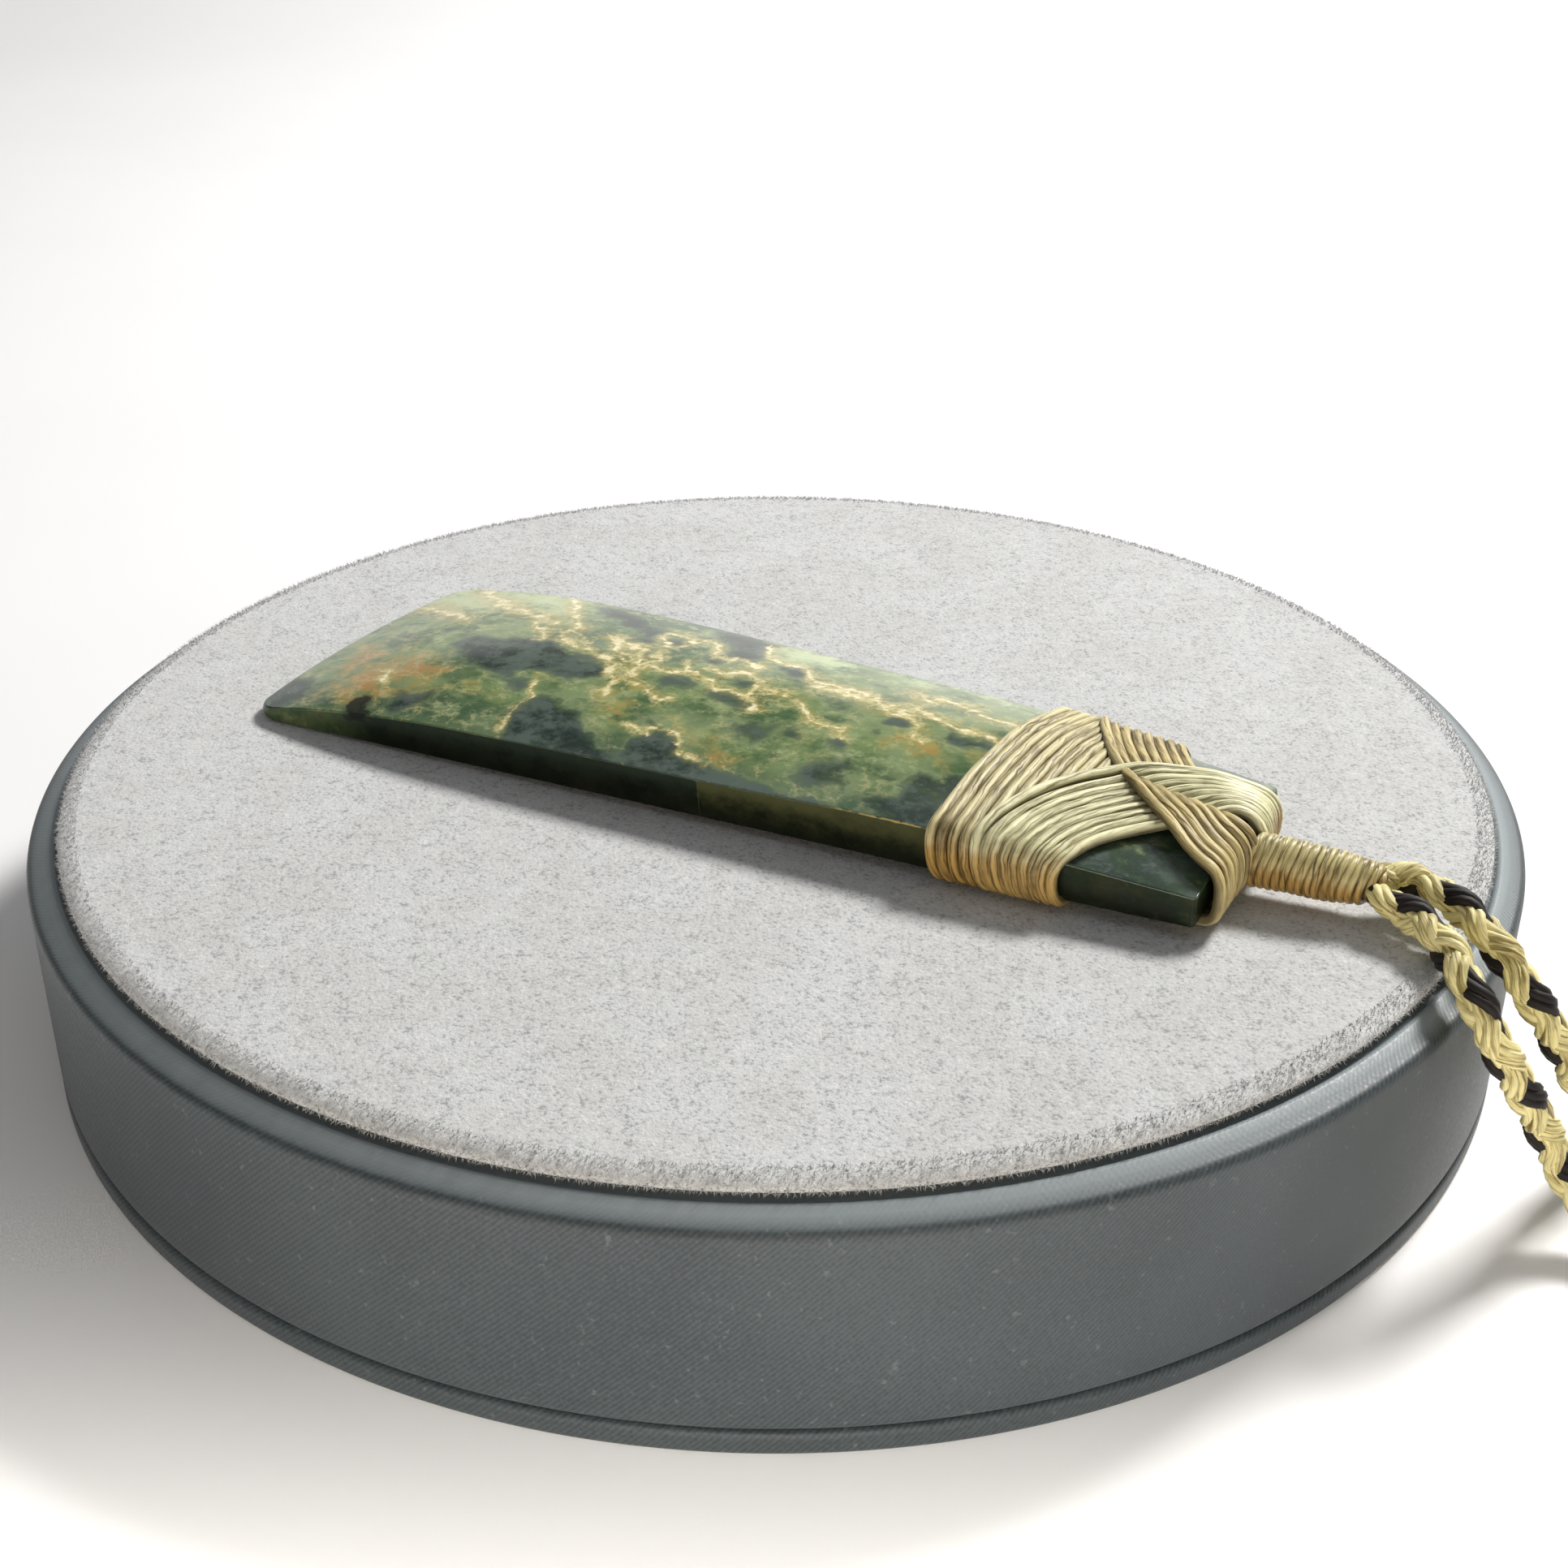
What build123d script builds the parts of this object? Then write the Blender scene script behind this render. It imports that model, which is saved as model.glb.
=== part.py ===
from build123d import *
from collections import namedtuple
from math import asin, degrees, pi, radians, sqrt, tan
import os

os.makedirs("parts", exist_ok=True)

# A toki, an adze-shaped stone pendant, lashed to its neck cord and lying on a low round
# display stand. Millimetres, +Z up, the origin at the centre of the stand's underside.

# Display stand
stand_radius = 60.0
base_thickness = 1.8  # lip that shows below the drum
base_seam = 0.3  # dark seam between the lip and the drum
wall_top = 17.8  # height where the outer wall turns over into the rim
rim_rise = 0.7  # the rim climbs this much towards the pad
rim_edge_radius = 0.8
foot_edge_radius = 0.5  # edges on both sides of the seam
rim_width = 2.3  # rim between the outer wall and the gap round the pad
pad_thickness = 1.15
pad_edge_radius = 1.05  # rolled edge of the suede
pad_side_gap = 0.5  # dark gap round the pad

# Stone
stone_length = 82.4  # cutting edge to butt
blade_half_width = 14.6
butt_half_width = 9.4
side_bow = 0.5  # how far the long sides bow outward at the middle
side_height = 3.3  # lower edge of the side to its upper edge
top_crown = 1.4  # how far the top face stands above its edges
bottom_crown = 0.2
edge_bevel = 0.3  # softened edges
bevel_share = 0.3  # most of the side's height that a bevel takes
side_undercut = 0.35  # the side leans in by this much towards its foot, at the middle
blade_bow = 1.2  # how far the cutting edge bows forward
blade_corner = 2.4  # rounded corner of the cutting edge
corner_clear = 0.02  # the corner's arc meets the side this far outside it
butt_corner = 0.5  # bevelled corner of the butt

# Binding
thread_diameter = 0.88
thread_layers = 1.8  # height of two turns that cross, in threads
thread_squeeze = 0.4  # the turns under the stone are pressed this much flatter
fit_gap = 0.1  # clearance between pieces that are wound or pressed together
seat_gap = 0.15  # clearance below what lies on the stand
band_reach = 20.7  # butt back to the first turn on the near side
band_slant_width = 1.0  # the first turn is this much nearer the butt on the far side
band_width = 11.8  # turns side by side on the near side
window_apex_length = 16.1  # first turn to the inmost point of a bare corner
window_apex_half_width = 4.0  # centre line to that point
window_mouth_half_width = 7.6  # half width of the turns where they go over the butt
window_inset_width = 0.9  # the last turns come over the side's edge this far in from it
crossing_length = 10.5  # first turn to where the two outermost turns cross

# Whipping behind the butt
neck_diameter = 4.3
neck_length = 9.45
neck_height = 2.0  # its axis above the plane that the stone lies on
neck_side = -1.3  # its axis leaves the butt this side of the centre line

# Cord
cord_diameter = 2.9
clasp_diameter = 5.2
clasp_length = 14.0
clasp_collar = 2.0  # raised ring at each end
clasp_step = 0.5  # the rings stand this far out from the waist
clasp_centre = (199.0, 3.0)
arc_share = 0.45  # part of the shorter run that an arc takes

# Lie of the pendant on the stand
pendant_angle = -29.0  # from +X towards the butt
pendant_side = -3.6  # the centre line passes this side of the stand's centre
pendant_reach = 41.7  # from the foot of that offset to the cutting edge

# Sizes that follow from those above
rim_inside = stand_radius - rim_width  # inner edge of the rim
rim_top = wall_top + rim_rise
pad_radius = rim_inside - pad_side_gap
pad_top = rim_top + seat_gap + pad_thickness
skin = fit_gap + thread_diameter  # outer face of a single layer of thread, off the stone
band_start = stone_length - band_reach
rest_height = bottom_crown + skin - thread_squeeze  # the stone's underside above what it rests on
bed = pad_top + seat_gap  # level that the blade and the turns under the stone rest at
block_reach = 3 * blade_half_width  # cutting blocks end this far out, clear of the stone

# Sections along the stone: place as a share of the length from the cutting edge, then the
# side's height, the crown and the undercut as shares of theirs. Towards the butt the undercut
# turns over and the foot stands out. The first and last sections lie past the ends.
Section = namedtuple("Section", "along side crown under")
sections = [
    Section(-0.03, 0.03, 0.05, 0.03),
    Section(0.03, 0.33, 0.30, 0.33),
    Section(0.10, 0.63, 0.60, 0.63),
    Section(0.20, 0.88, 0.86, 0.88),
    Section(0.32, 0.98, 1.00, 0.98),
    Section(0.55, 1.04, 1.00, 1.00),
    Section(0.76, 1.06, 0.95, 0.50),
    Section(0.89, 0.88, 0.82, -0.70),
    Section(1.03, 0.62, 0.62, -1.60),
]

# The whipping: place as a share of its length, thickness as a share of its diameter, and
# its bend to the side and down as shares of its diameter.
Turn = namedtuple("Turn", "along thick side down")
whipping = [
    Turn(0.00, 1.03, 0.00, 0.00),
    Turn(0.35, 0.96, 0.10, 0.02),
    Turn(0.75, 0.88, 0.21, 0.07),
    Turn(1.00, 0.76, 0.30, 0.12),
]

# Cord routes, from the whipping over the stand's rim to the floor and round to the clasp
near_route = [
    (42.8, -29.5, 22.2),
    (44.3, -30.5, 22.0),
    (45.9, -33.8, 21.7),
    (46.5, -38.0, 20.9),
    (48.2, -40.2, 17.6),
    (51.2, -39.4, 12.9),
    (54.0, -38.2, 8.3),
    (55.9, -38.6, 4.5),
    (58.3, -41.8, 1.9),
    (62.5, -46.8, 1.5),
    (71.0, -53.0, 1.5),
    (87.0, -57.5, 1.5),
    (111.0, -57.5, 1.5),
    (138.0, -53.5, 1.5),
    (166.0, -45.0, 1.5),
    (187.0, -30.5, 1.5),
    (197.0, -15.0, 2.0),
    (199.0, -4.3, 2.6),
]
far_route = [
    (43.9, -26.7, 22.6),
    (46.1, -27.3, 22.5),
    (48.1, -29.9, 22.1),
    (49.8, -33.3, 21.1),
    (52.5, -35.2, 17.5),
    (55.7, -34.7, 12.7),
    (59.0, -32.6, 7.0),
    (62.8, -29.4, 2.5),
    (67.7, -23.0, 1.5),
    (74.0, -10.0, 1.5),
    (80.0, 10.0, 1.5),
    (92.0, 34.0, 1.5),
    (113.0, 51.5, 1.5),
    (141.0, 56.5, 1.5),
    (169.0, 50.0, 1.5),
    (189.0, 36.5, 1.5),
    (197.6, 20.5, 2.0),
    (199.0, 10.3, 2.6),
]


def stand_base():
    """Thin plate whose edge shows as a lip below the drum."""
    with BuildPart() as plate:
        Cylinder(stand_radius, base_thickness, align=(Align.CENTER, Align.CENTER, Align.MIN))
        fillet(plate.edges().filter_by(GeomType.CIRCLE), foot_edge_radius)
    return plate.part


def stand_drum():
    """Round drum with a rounded rim that climbs to the flat that carries the pad."""
    foot = base_thickness + base_seam
    outline = [
        (0, foot),
        (stand_radius, foot),
        (stand_radius, wall_top),
        (rim_inside, rim_top),
        (0, rim_top),
    ]
    with BuildPart() as drum:
        with BuildSketch(Plane.XZ):
            with BuildLine():
                Polyline(*outline, close=True)
            make_face()
        revolve(axis=Axis.Z)
        outer = drum.edges().filter_by(GeomType.CIRCLE).group_by(SortBy.RADIUS)[-1]
        fillet(outer.sort_by(Axis.Z)[0], foot_edge_radius)
        outer = drum.edges().filter_by(GeomType.CIRCLE).group_by(SortBy.RADIUS)[-1]
        fillet(outer.sort_by(Axis.Z)[-1], rim_edge_radius)
    return drum.part


def suede_pad():
    """Flat round pad with a rolled upper edge."""
    with BuildPart() as pad:
        with Locations((0, 0, pad_top - pad_thickness)):
            Cylinder(pad_radius, pad_thickness, align=(Align.CENTER, Align.CENTER, Align.MIN))
        fillet(pad.edges().filter_by(GeomType.CIRCLE).sort_by(Axis.Z)[-1], pad_edge_radius)
    return pad.part


def half_width(along):
    """Half width of the stone at a share of its length."""
    straight = blade_half_width + (butt_half_width - blade_half_width) * along
    return straight + 4 * side_bow * along * (1 - along)


def stone_body(grow=0.0):
    """The stone without its end outlines, or the same form grown outward by a distance."""
    faces = []
    for row in sections:
        width = half_width(row.along) + grow
        foot = bottom_crown - grow
        underside = foot - bottom_crown * row.crown
        shoulder = bottom_crown + side_height * row.side + grow
        top = shoulder + top_crown * row.crown
        bevel = min(edge_bevel, bevel_share * side_height * row.side) + grow / 2
        foot_width = width - side_undercut * row.under
        with BuildSketch(Plane((stone_length * row.along, 0, 0), (0, 1, 0), (1, 0, 0))) as section:
            with BuildLine():
                ThreePointArc((bevel - foot_width, foot), (0, underside), (foot_width - bevel, foot))
                Line((foot_width - bevel, foot), (foot_width, foot + bevel))
                Line((foot_width, foot + bevel), (width, shoulder - bevel))
                Line((width, shoulder - bevel), (width - bevel, shoulder))
                ThreePointArc((width - bevel, shoulder), (0, top), (bevel - width, shoulder))
                Line((bevel - width, shoulder), (-width, shoulder - bevel))
                Line((-width, shoulder - bevel), (-foot_width, foot + bevel))
                Line((-foot_width, foot + bevel), (bevel - foot_width, foot))
            make_face()
        faces.append(section.sketch.face())
    return loft(faces)


def prism(points):
    """Tall upright block over a plan outline in the stone's own frame."""
    outline = make_face(Polyline(*points, close=True))
    return extrude(outline, block_reach, both=True)


def stone_outline(grow=0.0):
    """Plan of the stone: bowed cutting edge with rounded corners, butt with bevelled corners."""
    corner_along = blade_bow + blade_corner
    side = half_width(corner_along / stone_length) + corner_clear
    inner = side - blade_corner
    edge = blade_bow * (inner / side) ** 2
    turn = (1 - sqrt(0.5)) * blade_corner
    butt = half_width(1.0) - side_undercut * sections[-1].under + grow
    end = stone_length + grow
    with BuildLine() as line:
        Line((corner_along, -block_reach), (corner_along, -side))
        ThreePointArc((corner_along, -side), (edge + turn, turn - side), (edge, -inner))
        ThreePointArc((edge, -inner), (0, 0), (edge, inner))
        ThreePointArc((edge, inner), (edge + turn, side - turn), (corner_along, side))
        Polyline(
            (corner_along, side),
            (corner_along, block_reach),
            (end - butt_corner, block_reach),
            (end - butt_corner, butt),
            (end, butt - butt_corner),
            (end, butt_corner - butt),
            (end - butt_corner, -butt),
            (end - butt_corner, -block_reach),
            (corner_along, -block_reach),
        )
    return extrude(make_face(line.line), block_reach, both=True)


def stone_blade(grow=0.0):
    """The whole stone, or its clearance form."""
    return stone_body(grow) & stone_outline(grow)


def bare_corner(side):
    """Plan block over the bare stone at one corner of the butt."""
    shift = band_slant_width if side > 0 else 0.0
    turn_end = band_start + band_width + shift
    apex = band_start + window_apex_length + shift / 2
    past = stone_length + block_reach
    return prism(
        [
            (turn_end, side * block_reach),
            (turn_end, side * (half_width(turn_end / stone_length) - window_inset_width)),
            (apex, side * window_apex_half_width),
            (stone_length, side * window_mouth_half_width),
            (past, side * window_mouth_half_width),
            (past, side * block_reach),
        ]
    )


def lashing():
    """Wound thread as one jacket over the butt, thicker where the turns cross on the top."""
    end = stone_length + skin
    middle = band_start + band_slant_width / 2
    lean = band_slant_width / (2 * butt_half_width)
    crossing = band_start + crossing_length
    apex = band_start + window_apex_length
    second_half = window_apex_half_width - thread_diameter / 2
    jacket = stone_body(skin) & prism(
        [
            (middle - lean * block_reach, -block_reach),
            (end, -block_reach),
            (end, block_reach),
            (middle + lean * block_reach, block_reach),
        ]
    )
    second_layer = prism(
        [
            (crossing, 0),
            (apex, -second_half),
            (stone_length, -second_half / 2),
            (stone_length, second_half / 2),
            (apex, second_half),
        ]
    )
    raised = stone_body(fit_gap + thread_layers * thread_diameter) & second_layer
    raised = split(raised, Plane.XY.offset(side_height / 2), keep=Keep.TOP)
    windows = bare_corner(-1) + bare_corner(1)
    return (jacket + raised) - windows - stone_blade(fit_gap)


def neck_whipping():
    """Tapered whipping that leaves the butt, bends a little and ends at the cords."""
    start = stone_length + skin + fit_gap
    faces = []
    for row in whipping:
        centre = (
            start + neck_length * row.along,
            neck_side + neck_diameter * row.side,
            neck_height - neck_diameter * row.down,
        )
        with BuildSketch(Plane(centre, (0, 1, 0), (1, 0, 0))) as ring:
            Circle(neck_diameter * row.thick / 2)
        faces.append(ring.sketch.face())
    return loft(faces)


def pendant_place():
    """Where the stone's own frame lies on the pad: it rests on its blade and on the lashing."""
    tilt = degrees(asin(rest_height / band_start))
    foot = Location((0, 0, bed - bottom_crown)) * Rotation(0, 0, pendant_angle)
    return foot * Location((-pendant_reach, pendant_side, 0)) * Rotation(0, -tilt, 0)


def cord_tube(route, name):
    """Straight runs joined by arcs, each as large as its two runs allow."""
    points = [Vector(*point) for point in route]
    runs = [b - a for a, b in zip(points, points[1:])]
    radii = []
    for before, after in zip(runs, runs[1:]):
        turn = radians(before.get_angle(after))
        radii.append(arc_share * min(before.length, after.length) / tan(turn / 2))
    print(name, "radii", [round(radius, 1) for radius in radii])
    path = FilletPolyline(*points, radius=radii)
    start = Plane(origin=points[0], z_dir=runs[0])
    tube = sweep(start * Circle(cord_diameter / 2), path=path)
    share = tube.volume / (path.length * pi * cord_diameter**2 / 4)
    print(name, "length", round(path.length, 1), "volume share", round(share, 4))
    return tube


def cord_clasp():
    """Plain barrel clasp lying on the floor with a raised ring at each end."""
    radius = clasp_diameter / 2
    waist = radius - clasp_step
    half = clasp_length / 2
    outline = [
        (0, -half),
        (radius, -half),
        (radius, clasp_collar - half),
        (waist, clasp_collar - half + clasp_step),
        (waist, half - clasp_collar - clasp_step),
        (radius, half - clasp_collar),
        (radius, half),
        (0, half),
    ]
    with BuildPart() as barrel:
        with BuildSketch(Plane.XY):
            with BuildLine():
                Polyline(*outline, close=True)
            make_face()
        revolve(axis=Axis.Y)
    return Location((*clasp_centre, radius)) * barrel.part


lie = pendant_place()
nodes = {
    "stand_base": stand_base(),
    "stand_drum": stand_drum(),
    "suede_pad": suede_pad(),
    "stone_blade": lie * stone_blade(),
    "lashing": split(lie * lashing(), Plane.XY.offset(bed), keep=Keep.TOP),
    "neck_whipping": lie * neck_whipping(),
    "cord_near": cord_tube(near_route, "near cord"),
    "cord_far": cord_tube(far_route, "far cord"),
    "cord_clasp": cord_clasp(),
}
for name, solid in nodes.items():
    export_step(solid, f"parts/{name}.step")
    print(name, "volume", round(solid.volume, 1))
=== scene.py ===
import math
from functools import partial

import bmesh
import bpy
import numpy as np
from mathutils import Matrix, Vector, noise
from mathutils.bvhtree import BVHTree
from mathutils.kdtree import KDTree


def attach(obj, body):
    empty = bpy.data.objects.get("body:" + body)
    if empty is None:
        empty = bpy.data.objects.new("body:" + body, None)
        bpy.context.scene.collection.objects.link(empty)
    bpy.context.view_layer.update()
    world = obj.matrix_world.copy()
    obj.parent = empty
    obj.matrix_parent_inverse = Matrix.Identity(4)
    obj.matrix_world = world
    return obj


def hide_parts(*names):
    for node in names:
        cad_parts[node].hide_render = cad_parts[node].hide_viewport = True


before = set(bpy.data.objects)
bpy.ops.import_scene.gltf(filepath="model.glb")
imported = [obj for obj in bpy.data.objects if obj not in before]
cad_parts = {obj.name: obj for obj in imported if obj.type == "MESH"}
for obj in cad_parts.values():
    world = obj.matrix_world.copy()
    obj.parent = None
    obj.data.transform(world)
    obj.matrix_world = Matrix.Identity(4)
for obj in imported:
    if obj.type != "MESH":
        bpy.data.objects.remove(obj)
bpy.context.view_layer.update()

mm = 0.001  # lengths below are in millimetres unless a note says metres
fullTurn = 2 * math.pi
quarterTurn = math.pi / 2


def say(stage):
    print("stage:", stage)


# small helpers shared by every piece

def linear(hexColour):  # sRGB hex to a linear colour with alpha
    parts = [int(hexColour[i:i + 2], 16) / 255 for i in (1, 3, 5)]
    lin = [c / 12.92 if c <= 0.04045 else ((c + 0.055) / 1.055) ** 2.4 for c in parts]
    return (*lin, 1.0)


def setSockets(node, values):  # links or plain values, by socket name or index
    for key, value in values.items():
        if isinstance(value, bpy.types.NodeSocket):
            node.id_data.links.new(value, node.inputs[key])
        else:
            node.inputs[key].default_value = value


def addNode(tree, kind, settings=None, links=None):
    node = tree.nodes.new(kind)
    for key, value in (settings or {}).items():
        setattr(node, key, value)
    setSockets(node, links or {})
    return node


# nodes used often: kind, settings, usual values, the sockets filled by a call in their order, and the output
usualNodes = {
    "noise": ("ShaderNodeTexNoise", {"noise_dimensions": "4D"}, {"Detail": 3.0, "Roughness": 0.55, "W": 0.0},
              ("Vector", "Scale", "Detail", "Roughness", "W"), "Fac"),
    "between": ("ShaderNodeMapRange", {"interpolation_type": "SMOOTHSTEP"}, {"To Min": 0.0, "To Max": 1.0},
                ("Value", "From Min", "From Max", "To Max", "To Min"), "Result"),
    "blend": ("ShaderNodeMix", {"data_type": "RGBA", "clamp_factor": True}, {}, (0, 6, 7), 2),
    "bump": ("ShaderNodeBump", {}, {"Strength": 1.0}, ("Height", "Distance"), "Normal"),
}


def usualNode(tree, name, *given):  # one of the nodes above, or a Math node of any other name; gives its output
    kind, settings, usual, sockets, output = usualNodes.get(
        name, ("ShaderNodeMath", {"operation": name}, {}, (0, 1), 0))
    return addNode(tree, kind, settings, usual | dict(zip(sockets, given))).outputs[output]


def spaced(size):  # the scale of a noise whose blobs are about size mm apart
    return 1 / (size * mm)


def newMaterial(name):
    material = bpy.data.materials.new(name)
    material.use_nodes = True
    tree = material.node_tree
    return material, tree, partial(usualNode, tree), tree.nodes["Principled BSDF"]


def newTree(name, inputs):  # a geometry tree with named inputs and one mesh as its result
    tree = bpy.data.node_groups.new(name, "GeometryNodeTree")
    for label, kind in inputs.items():
        tree.interface.new_socket(label, in_out="INPUT", socket_type="NodeSocket" + kind)
    tree.interface.new_socket("Mesh", in_out="OUTPUT", socket_type="NodeSocketGeometry")
    return tree, addNode(tree, "NodeGroupInput").outputs


def endTree(tree, geometry, finish):
    realised = addNode(tree, "GeometryNodeRealizeInstances", {}, {"Geometry": geometry})
    dressed = addNode(tree, "GeometryNodeSetMaterial", {}, {"Geometry": realised.outputs[0], "Material": finish})
    addNode(tree, "NodeGroupOutput", {}, {"Mesh": dressed.outputs[0]})
    return tree


def treeResult(holder, tree, values, name):  # runs the tree on the holder and gives a plain mesh
    modifier = holder.modifiers.new(name, "NODES")
    modifier.node_group = tree
    for item in tree.interface.items_tree:
        if item.in_out == "INPUT" and item.name in values:
            modifier[item.identifier] = values[item.name]
    bpy.context.view_layer.update()
    graph = bpy.context.evaluated_depsgraph_get()
    mesh = bpy.data.meshes.new_from_object(holder.evaluated_get(graph), preserve_all_data_layers=True, depsgraph=graph)
    bpy.data.objects.remove(holder)
    mesh.name = name
    return mesh


def newObject(name, data):
    made = bpy.data.objects.new(name, data)
    bpy.context.scene.collection.objects.link(made)
    return made


def meshPiece(name, points, faces, materials):  # points in mm
    mesh = bpy.data.meshes.new(name)
    mesh.from_pydata((np.asarray(points, float) * mm).tolist(), [], faces)
    mesh.update()
    piece = newObject(name, mesh)
    for material in materials:
        mesh.materials.append(material)
    mesh.polygons.foreach_set("use_smooth", [True] * len(mesh.polygons))
    return piece


def reworked(piece, change):  # change works on the piece's mesh while it is editable
    work = bmesh.new()
    work.from_mesh(piece.data)
    change(work)
    work.to_mesh(piece.data)
    work.free()


def outward(piece):
    reworked(piece, lambda work: bmesh.ops.recalc_face_normals(work, faces=work.faces))


def shadeByAngle(piece, degrees):
    def sharpen(work):
        for edge in work.edges:
            edge.smooth = not edge.is_manifold or edge.calc_face_angle(0) < math.radians(degrees)
        for face in work.faces:
            face.smooth = True

    reworked(piece, sharpen)


def smoothStep(x):
    x = np.clip(x, 0, 1)
    return x * x * (3 - 2 * x)


def settle(piece, *nodes, finish):  # rides on the one body and stands for its CAD nodes, which it hides
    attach(piece, "root")
    if nodes:
        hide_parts(*nodes)


def spacedOut(points, step):  # the same line with points a step apart
    points = np.asarray(points, float)
    run = np.concatenate([[0], np.cumsum(np.linalg.norm(np.diff(points, axis=0), axis=1))])
    count = max(2, int(round(run[-1] / step)) + 1)
    at = np.linspace(0, run[-1], count)
    return np.stack([np.interp(at, run, points[:, k]) for k in range(3)], 1)


def softened(points, passes):
    points = np.array(points, float)
    for _ in range(passes):
        points[1:-1] = 0.25 * points[:-2] + 0.5 * points[1:-1] + 0.25 * points[2:]
    return points


# camera

cameraSizes = {"lens": 48.45, "place": (0.0, -156.36, 100.10), "turn": 0.217, "down": 28.40, "roll": 0.18}


def makeCamera():
    turn, down, roll = (math.radians(cameraSizes[k]) for k in ("turn", "down", "roll"))
    ahead = Vector((math.sin(turn) * math.cos(down), math.cos(turn) * math.cos(down), -math.sin(down)))
    level = Vector((math.cos(turn), -math.sin(turn), 0))
    above = level.cross(ahead)
    right = level * math.cos(roll) + above * math.sin(roll)
    up = above * math.cos(roll) - level * math.sin(roll)
    data = bpy.data.cameras.new("camera")
    data.lens = cameraSizes["lens"]
    data.sensor_width = 36
    data.clip_start = 0.01
    camera = newObject("camera", data)
    camera.matrix_world = Matrix.Translation(Vector(cameraSizes["place"]) * mm) @ Matrix(
        (right, up, -ahead)).transposed().to_4x4()
    bpy.context.scene.camera = camera


makeCamera()
say("camera")


# thread: one tree of nodes turns any set of paths into round threads whose ends close to a point

def makeThreadTree():
    tree, given = newTree("wound thread", {
        "Paths": "Geometry", "Thread Diameter": "Float", "Sides": "Int", "Finish": "Material"})
    ends = addNode(tree, "GeometryNodeCurveEndpointSelection").outputs[0]
    closed = addNode(tree, "GeometryNodeSetCurveRadius", {},
                     {"Curve": given["Paths"], "Selection": ends, "Radius": 0.0}).outputs[0]
    number = addNode(tree, "GeometryNodeInputIndex").outputs[0]
    chance = addNode(tree, "FunctionNodeRandomValue", {"data_type": "FLOAT"},
                     {2: 0.0, 3: 1.0, "ID": number, "Seed": 4}).outputs[1]
    keepTone = addNode(tree, "GeometryNodeCaptureAttribute", {"domain": "CURVE"})
    keepTone.capture_items.new("FLOAT", "Tone")
    setSockets(keepTone, {0: closed, "Tone": chance})
    along = addNode(tree, "GeometryNodeSplineParameter").outputs
    keepLength = addNode(tree, "GeometryNodeCaptureAttribute")
    keepLength.capture_items.new("FLOAT", "Length")
    setSockets(keepLength, {0: keepTone.outputs[0], "Length": along["Length"]})
    half = usualNode(tree, "MULTIPLY", given["Thread Diameter"], 0.5)
    corners = addNode(tree, "FunctionNodeIntegerMath", {"operation": "ADD"}, {0: given["Sides"], 1: 1}).outputs[0]
    ring = addNode(tree, "GeometryNodeCurveArc", {"mode": "RADIUS"},
                   {"Resolution": corners, "Radius": half, "Sweep Angle": fullTurn}).outputs["Curve"]
    keepRound = addNode(tree, "GeometryNodeCaptureAttribute")
    keepRound.capture_items.new("FLOAT", "Round")
    setSockets(keepRound, {0: ring, "Round": along["Factor"]})
    radius = addNode(tree, "GeometryNodeInputRadius").outputs[0]
    mesh = addNode(tree, "GeometryNodeCurveToMesh", {}, {
        "Curve": keepLength.outputs[0], "Profile Curve": keepRound.outputs[0], "Scale": radius}).outputs[0]
    ply = addNode(tree, "ShaderNodeCombineXYZ", {},
                  {"X": keepRound.outputs["Round"], "Y": keepLength.outputs["Length"]}).outputs[0]
    tone = keepTone.outputs["Tone"]
    for name, kind, domain, value in (("ply", "FLOAT2", "CORNER", ply), ("tone", "FLOAT", "POINT", tone)):
        mesh = addNode(tree, "GeometryNodeStoreNamedAttribute", {"data_type": kind, "domain": domain},
                       {"Geometry": mesh, "Name": name, "Value": value}).outputs[0]
    joined = addNode(tree, "GeometryNodeMergeByDistance", {}, {"Geometry": mesh, "Distance": 1e-6}).outputs[0]
    smooth = addNode(tree, "GeometryNodeSetShadeSmooth", {}, {"Geometry": joined}).outputs[0]
    return endTree(tree, smooth, given["Finish"])


threadTree = makeThreadTree()


def windThreads(name, paths, diameter, sides, finish):  # paths in mm, finish is a material
    data = bpy.data.curves.new(name + "_paths", "CURVE")
    data.dimensions = "3D"
    for path in paths:
        spline = data.splines.new("POLY")
        spline.points.add(len(path) - 1)
        placed = np.c_[np.asarray(path) * mm, np.ones(len(path))].astype(np.float32)
        spline.points.foreach_set("co", placed.ravel())
        spline.points.foreach_set("radius", [1.0] * len(path))
    return treeResult(newObject(name + "_holder", data), threadTree, {
        "Thread Diameter": diameter * mm, "Sides": sides, "Finish": finish}, name)


def onePiece(name, meshes):  # several meshes as one object
    work = bmesh.new()
    materials = []
    for mesh in meshes:
        first = len(work.faces)
        work.from_mesh(mesh)
        work.faces.ensure_lookup_table()
        places = []
        for material in mesh.materials:
            if material not in materials:
                materials.append(material)
            places.append(materials.index(material))
        for face in work.faces[first:]:
            face.material_index = places[min(face.material_index, len(places) - 1)]
            face.smooth = True
    whole = bpy.data.meshes.new(name)
    work.to_mesh(whole)
    work.free()
    for material in materials:
        whole.materials.append(material)
    piece = newObject(name, whole)
    for mesh in meshes:
        bpy.data.meshes.remove(mesh)
    return piece
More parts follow.
